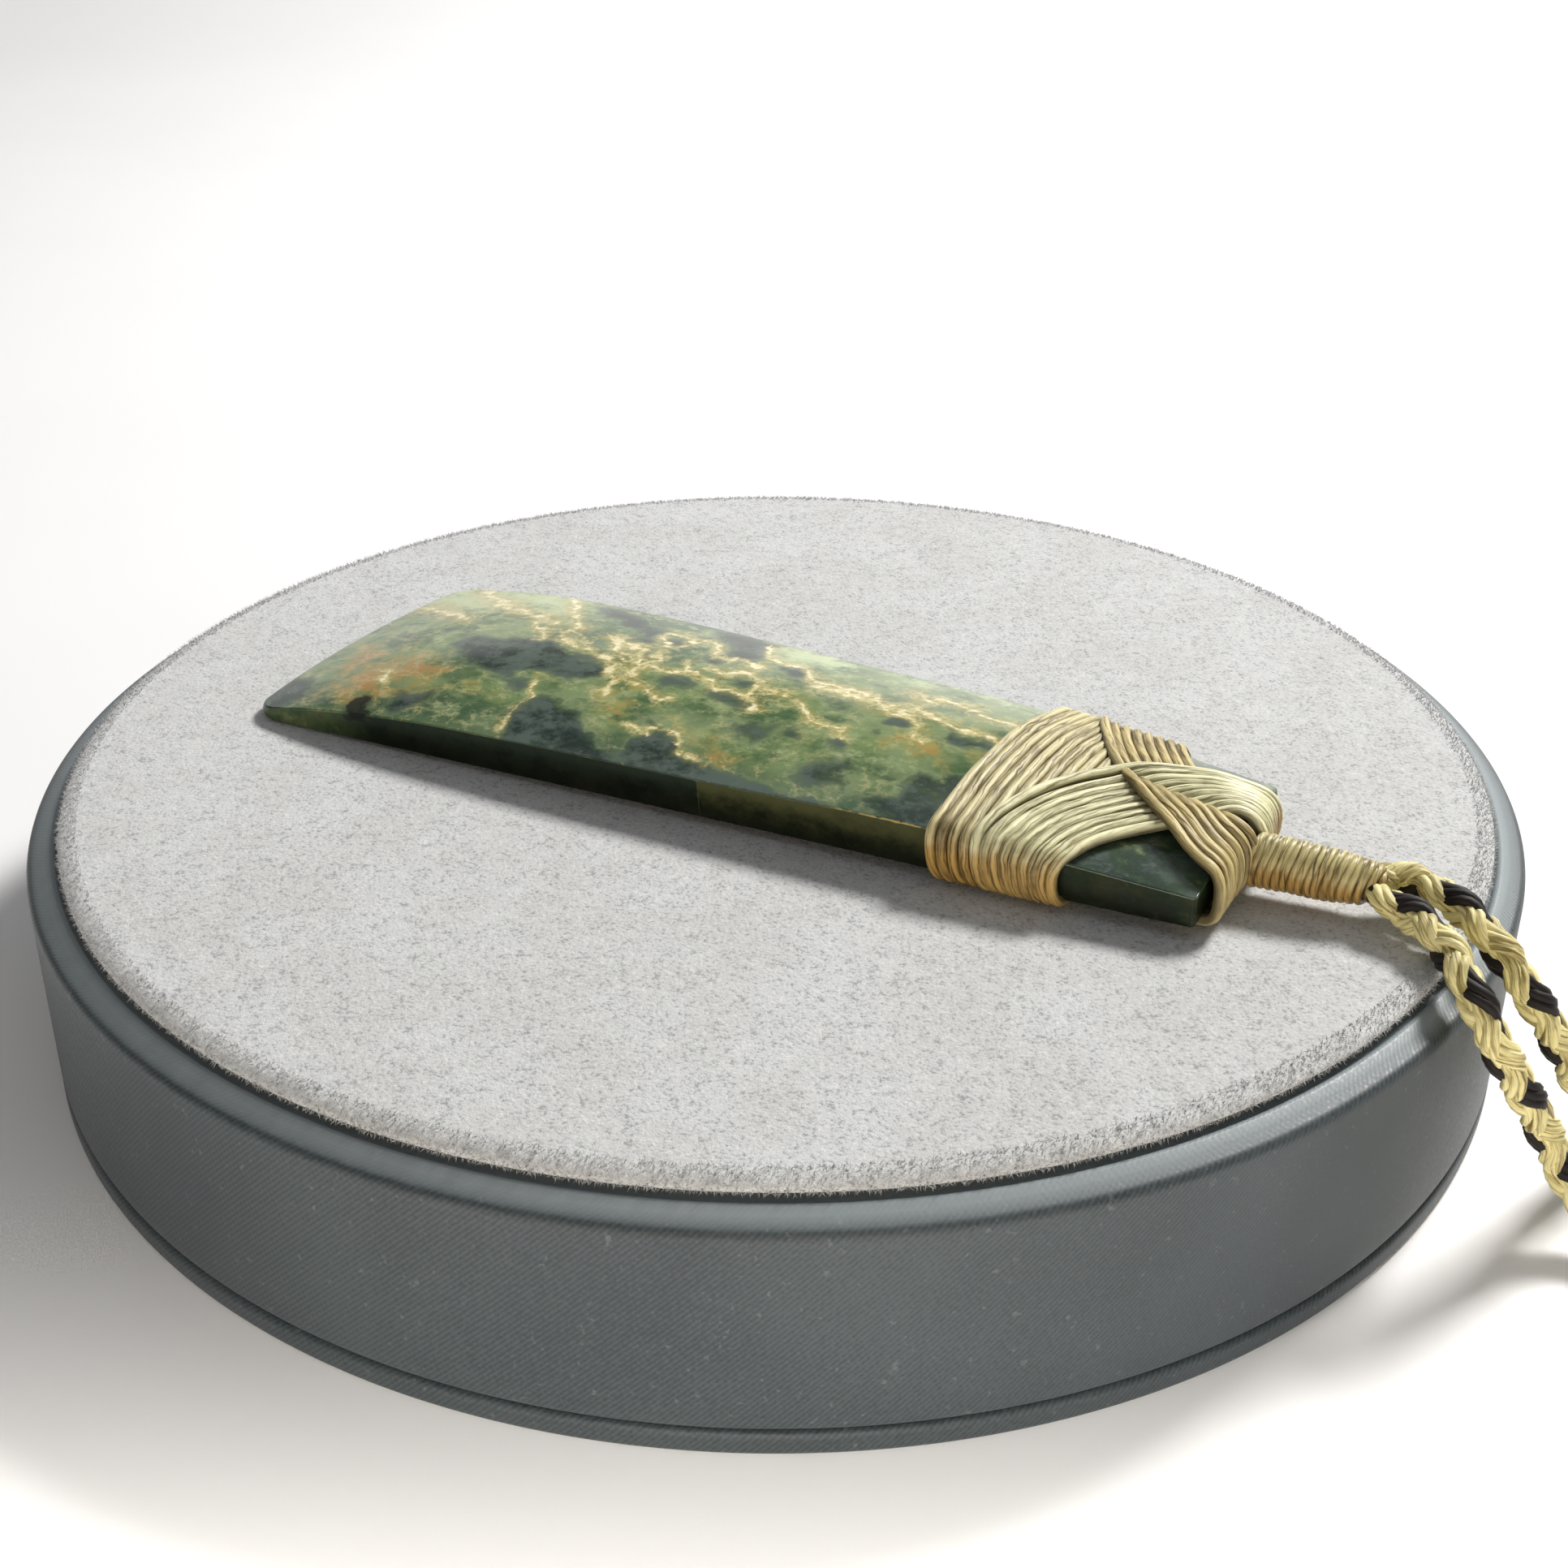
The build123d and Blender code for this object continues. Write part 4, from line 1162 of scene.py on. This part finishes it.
def makeLashing():
    s = lashSizes
    groups = ((straightTurns(), waxedThread), (crossingTurns(nearFamily, farFamily, -1), paleThread),
              (crossingTurns(farFamily, nearFamily, 1), tanThread))
    piece = onePiece("lashing_turns", [
        windThreads("lashing", [laid(path) for path in paths], s["thread"], s["sides"], finish)
        for paths, finish in groups])
    along = np.vstack([path for paths, _ in groups for path in paths])
    bases = np.array([shell.find_nearest(Vector(point))[0] for point in along])
    markCreases(piece, laid(along), laid(bases), s["thread"] / 2)
    return piece


lashing = makeLashing()
settle(lashing, "lashing", finish="waxed_thread")
say("lashing")


# whipping behind the butt: a close helix over a tapered core

neckSizes = {
    "start": 83.2, "length": 9.95, "side": -1.3, "height": 2.0, "diameter": 4.3, "thread": 0.66, "pitch": 0.56,
    "slant": 0.30,
    # share of the length, then share of the diameter, and how far it moves sideways and down as shares of it
    "shape": [(0.0, 1.0, 0.0, 0.0), (0.35, 0.95, 0.10, 0.02), (0.75, 0.87, 0.21, 0.07), (0.92, 0.70, 0.28, 0.10),
              (1.0, 0.40, 0.30, 0.12)],
}


def makeNeck():
    s = neckSizes
    shape = np.array(s["shape"])
    turns = s["length"] / s["pitch"]
    at = np.linspace(0, 1, int(turns * 20))
    uneven = np.array([noise.noise(Vector((a * 14, 3.1, 0.0))) for a in at])
    thick = smoothTable(at, shape[:, 0], shape[:, 1]) * s["diameter"] / 2 + 0.05 * uneven
    sideways, down = (s["diameter"] * smoothTable(at, shape[:, 0], shape[:, k]) for k in (2, 3))
    centre = np.stack([s["start"] + s["length"] * at, s["side"] + sideways, s["height"] - down], 1)
    angle = 2 * math.pi * turns * at
    reach = thick - s["thread"] / 2
    ends = np.clip(np.minimum(at, 1 - at) * 12, 0, 1)
    lean = s["slant"] * reach * np.cos(angle - 0.9) * ends  # the turns lie a little slanted
    helix = centre + np.stack([lean + 0.05 * uneven, reach * np.cos(angle), reach * np.sin(angle)], 1)
    core = np.vstack([centre[:1] - (0.9, 0, 0), centre[::20]])
    piece = onePiece("neck_whipping_turns", [
        windThreads("neck_helix", [laid(helix)], s["thread"], 10, neckThread),
        windThreads("neck_core", [laid(core[:-1])], s["diameter"] * 0.66, 20, neckThread)])
    markCreases(piece, laid(helix), laid(centre), s["thread"] / 2)
    return piece


neck = makeNeck()
settle(neck, "neck_whipping", finish="waxed_thread")
say("whipping")


# stand: turned shapes with their own distance map in mm

standSizes = {
    "radius": 60.0, "baseThickness": 1.8, "seam": 0.3, "wallTop": 17.8, "rimRise": 0.7, "rimWidth": 2.3, "rimEdge": 0.8,
    "footEdge": 0.5, "padGap": 0.26, "padTop": 19.8, "padUnder": 18.65, "padEdge": 1.5, "groove": 0.35, "around": 720,
}


def arcPoints(centre, radius, start, stop, count):
    return [(centre[0] + radius * math.cos(math.radians(a)), centre[1] + radius * math.sin(math.radians(a)))
            for a in np.linspace(start, stop, count)]


def turned(name, profile, around, materials):  # profile as (radius, height), first and last on the axis or closed
    run = np.concatenate([[0], np.cumsum([math.dist(a, b) for a, b in zip(profile, profile[1:])])])
    points, faces, uvs = [], [], []
    for r, z in profile:
        turn = np.arange(around) * 2 * math.pi / around
        points.append(np.stack([r * np.cos(turn), r * np.sin(turn), np.full(around, z)], 1))
    for row in range(len(profile) - 1):
        k = np.arange(around)
        a, b = row * around + k, row * around + (k + 1) % around
        faces.append(np.stack([a, b, b + around, a + around], 1))
        near, far = k / around, (k + 1) / around
        lo, hi = np.full(around, run[row]), np.full(around, run[row + 1])
        uvs.append(np.stack([near, lo, far, lo, far, hi, near, hi], 1))
    piece = meshPiece(name, np.vstack(points), [tuple(f) for f in np.vstack(faces).tolist()], materials)
    layer = piece.data.uv_layers.new(name="wrap")
    layer.data.foreach_set("uv", np.vstack(uvs).astype(np.float32).ravel())
    reworked(piece, lambda work: bmesh.ops.remove_doubles(  # closes the poles
        work, verts=[v for v in work.verts if math.hypot(v.co.x, v.co.y) < 1e-5], dist=1e-6))
    return piece


def leatheretteMaterial():
    # slate-grey leatherette: satin vinyl pressed with a fine slanted twill, with the rim painted paler as light falling
    # on it
    material, tree, node, surface = newMaterial("twill leatherette, slate")
    wrapMap = addNode(tree, "ShaderNodeUVMap", {"uv_map": "wrap"}).outputs[0]
    wrap = addNode(tree, "ShaderNodeSeparateXYZ", {}, {0: wrapMap}).outputs
    place = addNode(tree, "ShaderNodeTexCoord").outputs["Object"]

    def ribs(count, pitch, slope):  # count round the stand, pitch up its side in mm
        across = node("MULTIPLY", wrap[0], count * slope * 2 * math.pi)
        return node("SINE", node("ADD", across, node("MULTIPLY", wrap[1], fullTurn / pitch)))

    twill = ribs(800, 0.47, -1)
    cross = ribs(800, 1.30, 1)
    fine = node("noise", place, spaced(0.30), 3.0, 0.65)
    speck = node("noise", place, spaced(0.55), 2.0, 0.5, 8.0)
    cloud = node("noise", place, spaced(14.0), 3.0, 0.5, 3.0)
    height = node("ADD", node("ADD", node("MULTIPLY", twill, 0.22), node("MULTIPLY", cross, 0.10)), fine)
    shade = node("ADD", node("ADD", node("MULTIPLY", twill, 0.12), fine), node("MULTIPLY", cloud, 0.5))
    tone = node("blend", node("between", shade, 0.45, 1.05), linear("#2f363a"), linear("#485054"))
    tone = node("blend", node("between", speck, 0.64, 0.74, 0.25), tone, linear("#858d8c"))
    rise = addNode(tree, "ShaderNodeSeparateXYZ", {}, {0: place}).outputs[2]
    tone = node("blend", node("between", rise, 17.7 * mm, 18.2 * mm, 0.75), tone, linear("#959fa3"))  # painted light on the rim, which faces up
    setSockets(surface, {
        "Base Color": tone, "Roughness": node("between", fine, 0.3, 0.7, 0.56, 0.40), "Sheen Weight": 0.05,
        "Specular IOR Level": 0.35, "Normal": node("bump", height, 0.016 * mm)})
    return material


def suedeMaterial():
    # split suede: pale grey nap that lies in soft patches, with specks where the fibres stand up
    material, tree, node, surface = newMaterial("split suede, pale grey")
    place = addNode(tree, "ShaderNodeTexCoord").outputs["Object"]
    nap = node("noise", place, spaced(0.27), 3.0, 0.65)
    tuft = node("noise", place, spaced(0.75), 3.0, 0.6, 2.0)
    brushed = node("noise", place, spaced(6.0), 3.0, 0.55, 4.0)
    warm = node("blend", node("between", brushed, 0.35, 0.68), linear("#c9caca"), linear("#d0d2d3"))
    specks = node("ADD", node("MULTIPLY", nap, 0.65), node("MULTIPLY", tuft, 0.35))
    tone = node("blend", node("between", specks, 0.36, 0.50), linear("#9b9d9e"), warm)
    tone = node("blend", node("between", specks, 0.52, 0.66, 0.7), tone, linear("#e6e6e4"))
    setSockets(surface, {
        "Base Color": tone, "Roughness": 0.95, "Specular IOR Level": 0.2, "Sheen Weight": 0.5,
        "Sheen Roughness": 0.5, "Normal": node("bump", specks, 0.20 * mm)})
    return material


def makeStand():
    s = standSizes
    radius, edge, foot, around = s["radius"], s["rimEdge"], s["footEdge"], s["around"]
    leatherette = leatheretteMaterial()
    lipTop = s["baseThickness"]
    base = [(0.0, 0.0), (20, 0.0), (45, 0.0), (radius - foot, 0.0)]
    base += arcPoints((radius - foot, foot), foot, -90, 0, 7)[1:] + [(radius, lipTop - foot)]
    base += arcPoints((radius - foot, lipTop - foot), foot, 0, 90, 7)[1:] + [(45, lipTop), (20, lipTop), (0.0, lipTop)]
    lip = turned("stand_lip", base, around, [leatherette])
    low = lipTop + s["seam"]
    slope = math.degrees(math.atan2(s["rimRise"], s["rimWidth"]))
    corner = (radius - edge, s["wallTop"] - edge + 0.12)
    inside = radius - s["rimWidth"]
    rim = s["wallTop"] + s["rimRise"]
    floor = rim - s["groove"]
    body = [(0.0, low), (30, low), (radius - foot, low)] + arcPoints((radius - foot, low + foot), foot, -90, 0, 7)[1:]
    body += [(radius, z) for z in np.linspace(low + foot + 0.8, corner[1] - 0.6, 14)]
    body += arcPoints(corner, edge, 0, 90 - slope, 9)
    body += [(radius - edge - 0.5, s["wallTop"] + 0.30), (inside + 0.5, rim - 0.02), (inside + 0.2, rim),
             (inside, rim - 0.12), (inside - 0.05, floor), (inside - 1.2, floor), (inside - 1.4, rim),
             (40, rim), (15, rim), (0.0, rim)]
    return lip, turned("stand_wall", body, around, [leatherette])


def makeFibreTree():  # short leaning fibres scattered over a surface
    tree, given = newTree("suede fibres", {
        "Surface": "Geometry", "Per Square Metre": "Float", "Fibre Length": "Float", "Fibre Width": "Float",
        "Seed": "Int", "Finish": "Material"})
    seed = given["Seed"]
    spots = addNode(tree, "GeometryNodeDistributePointsOnFaces", {"distribute_method": "RANDOM"},
                    {"Mesh": given["Surface"], "Density": given["Per Square Metre"], "Seed": seed}).outputs
    fibre = addNode(tree, "GeometryNodeMeshCone", {"fill_type": "NGON"}, {
        "Vertices": 3, "Side Segments": 1, "Radius Top": 0.0, "Radius Bottom": given["Fibre Width"],
        "Depth": given["Fibre Length"]}).outputs[0]
    lean = addNode(tree, "FunctionNodeRandomValue", {"data_type": "FLOAT_VECTOR"},
                   {"Min": (-0.9, -0.9, -3.1), "Max": (0.9, 0.9, 3.1), "Seed": seed}).outputs[0]
    size = addNode(tree, "FunctionNodeRandomValue", {"data_type": "FLOAT"}, {2: 0.5, 3: 1.2, "Seed": seed}).outputs[1]
    leaning = addNode(tree, "FunctionNodeRotateRotation", {"rotation_space": "LOCAL"},
                      {0: spots["Rotation"], 1: lean}).outputs[0]
    placed = addNode(tree, "GeometryNodeInstanceOnPoints", {}, {
        "Points": spots["Points"], "Instance": fibre, "Rotation": leaning, "Scale": size}).outputs[0]
    return endTree(tree, placed, given["Finish"])


napSizes = {"perSquareMillimetre": 22.0, "length": 0.42, "width": 0.035, "seed": 7, "edgeBand": 1.6, "around": 360}


def makePad():
    s, n = standSizes, napSizes
    radius = s["radius"] - s["rimWidth"] - s["padGap"]
    suede = suedeMaterial()
    edge, top, under = s["padEdge"], s["padTop"], s["padUnder"]
    high, low = 0.62 * (top - under), 0.38 * (top - under)
    profile = [(0.0, top)] + [(r, top) for r in (8, 16, 24, 32, 40, 46, 50, 53)]
    profile += [(r, top) for r in np.linspace(54, radius - edge, 5)]
    profile += [(radius - edge + edge * math.sin(a), under + low + high * math.cos(a))
                for a in np.linspace(0, quarterTurn, 9)[1:]]
    profile += [(radius - 0.7 + 0.7 * math.cos(a), under + low - low * math.sin(a))
                for a in np.linspace(0, quarterTurn, 6)[1:]]
    profile += [(radius - 2.0, under), (40, under), (0.0, under)]
    profile = profile[::-1]
    pad = turned("pad_suede", profile, s["around"], [suede])
    strip = turned("pad_band", [(r, z) for r, z in profile if r > radius - n["edgeBand"]], n["around"], [suede])
    fibres = treeResult(strip, makeFibreTree(), {
        "Per Square Metre": n["perSquareMillimetre"] / mm**2, "Fibre Length": n["length"] * mm,
        "Fibre Width": n["width"] * mm, "Seed": n["seed"], "Finish": suede}, "pad_fibres")
    padMesh = pad.data.copy()
    bpy.data.objects.remove(pad)
    return onePiece("pad_suede", [padMesh, fibres])


standLip, standWall = makeStand()
pad = makePad()
settle(standLip, "stand_base", finish="leatherette")
settle(standWall, "stand_drum", finish="leatherette")
settle(pad, "suede_pad", finish="suede")
say("stand")


# cords and clasp ride on the body, their CAD nodes hidden, once everything is in place

settle(cordNear, "cord_near", finish="braided_cord")
settle(cordFar, "cord_far", finish="braided_cord")
settle(clasp, "cord_clasp", finish="clasp_metal")


# floor, backdrop and light

stageSizes = {"width": 1200, "front": -1000, "bend": 420, "bendRadius": 160, "back": 580, "height": 230, "drop": 0.02}


def makeStage():
    # matt white paper: no gloss, faintly cloudy
    material, tree, node, surface = newMaterial("matt white paper")
    place = addNode(tree, "ShaderNodeTexCoord").outputs["Object"]
    tone = node("blend", node("noise", place, spaced(60.0), 2.0), linear("#f2f2f3"), linear("#f8f8f9"))
    setSockets(surface, {"Base Color": tone, "Roughness": 0.85})
    s = stageSizes
    bend, r, wide = s["bend"], s["bendRadius"], s["width"]
    profile = [(s["front"], 0), (bend, 0)]
    profile += [(bend + r * math.sin(a), r - r * math.cos(a)) for a in np.linspace(0.15, quarterTurn, 10)]
    profile.append((s["back"], s["height"]))
    points, faces = [], []
    for y, z in profile:
        points += [(-wide, y, z - s["drop"]), (wide, y, z - s["drop"])]
    for k in range(len(profile) - 1):
        faces.append((2 * k, 2 * k + 1, 2 * k + 3, 2 * k + 2))
    meshPiece("floor", points, faces, [material])


lights = {  # place, the point aimed at and size in metres, power in watts, tone, and the grid's angle in degrees
    "key softbox, back right": ((0.37, 0.33, 0.50), (0, 0, 0.02), (0.16, 0.16), 6.4, "#fffcf8", 180),
    "overhead panel": ((0.0, 0.05, 0.85), (0, 0.0, 0), (1.5, 1.3), 1.4, "#f9fbff", 180),
    "front panel": ((-0.02, -0.27, 0.13), (0, -0.07, 0.0), (0.42, 0.10), 0.08, "#fff3e2", 180),
    "strip in front, near the floor": (
        (-0.01, -0.17, 0.020), (0, -0.065, 0.004), (0.30, 0.02), 0.11, "#fff1de", 180),
    "gridded strip over the floor in front": (
        (-0.01, -0.13, 0.07), (-0.01, -0.085, 0.0), (0.30, 0.02), 0.05, "#fffaf2", 42),
}
roomLight = {"tone": "#eef1f4", "strength": 0.12}


def makeLights():
    for name, (place, aim, size, power, tone, spread) in lights.items():
        data = bpy.data.lights.new(name, "AREA")
        data.shape = "RECTANGLE"
        data.size, data.size_y = size
        data.energy = power
        data.spread = math.radians(spread)
        data.color = linear(tone)[:3]
        lamp = newObject(name, data)
        lamp.location = place
        lamp.visible_camera = False
        lamp.rotation_mode = "QUATERNION"
        lamp.rotation_quaternion = (Vector(aim) - Vector(place)).to_track_quat("-Z", "Y")
    world = bpy.data.worlds.new("studio")
    bpy.context.scene.world = world
    world.use_nodes = True
    setSockets(world.node_tree.nodes["Background"], {0: linear(roomLight["tone"]), 1: roomLight["strength"]})


makeStage()
makeLights()
bpy.context.scene.view_settings.view_transform = "Standard"
say("stage and lights")
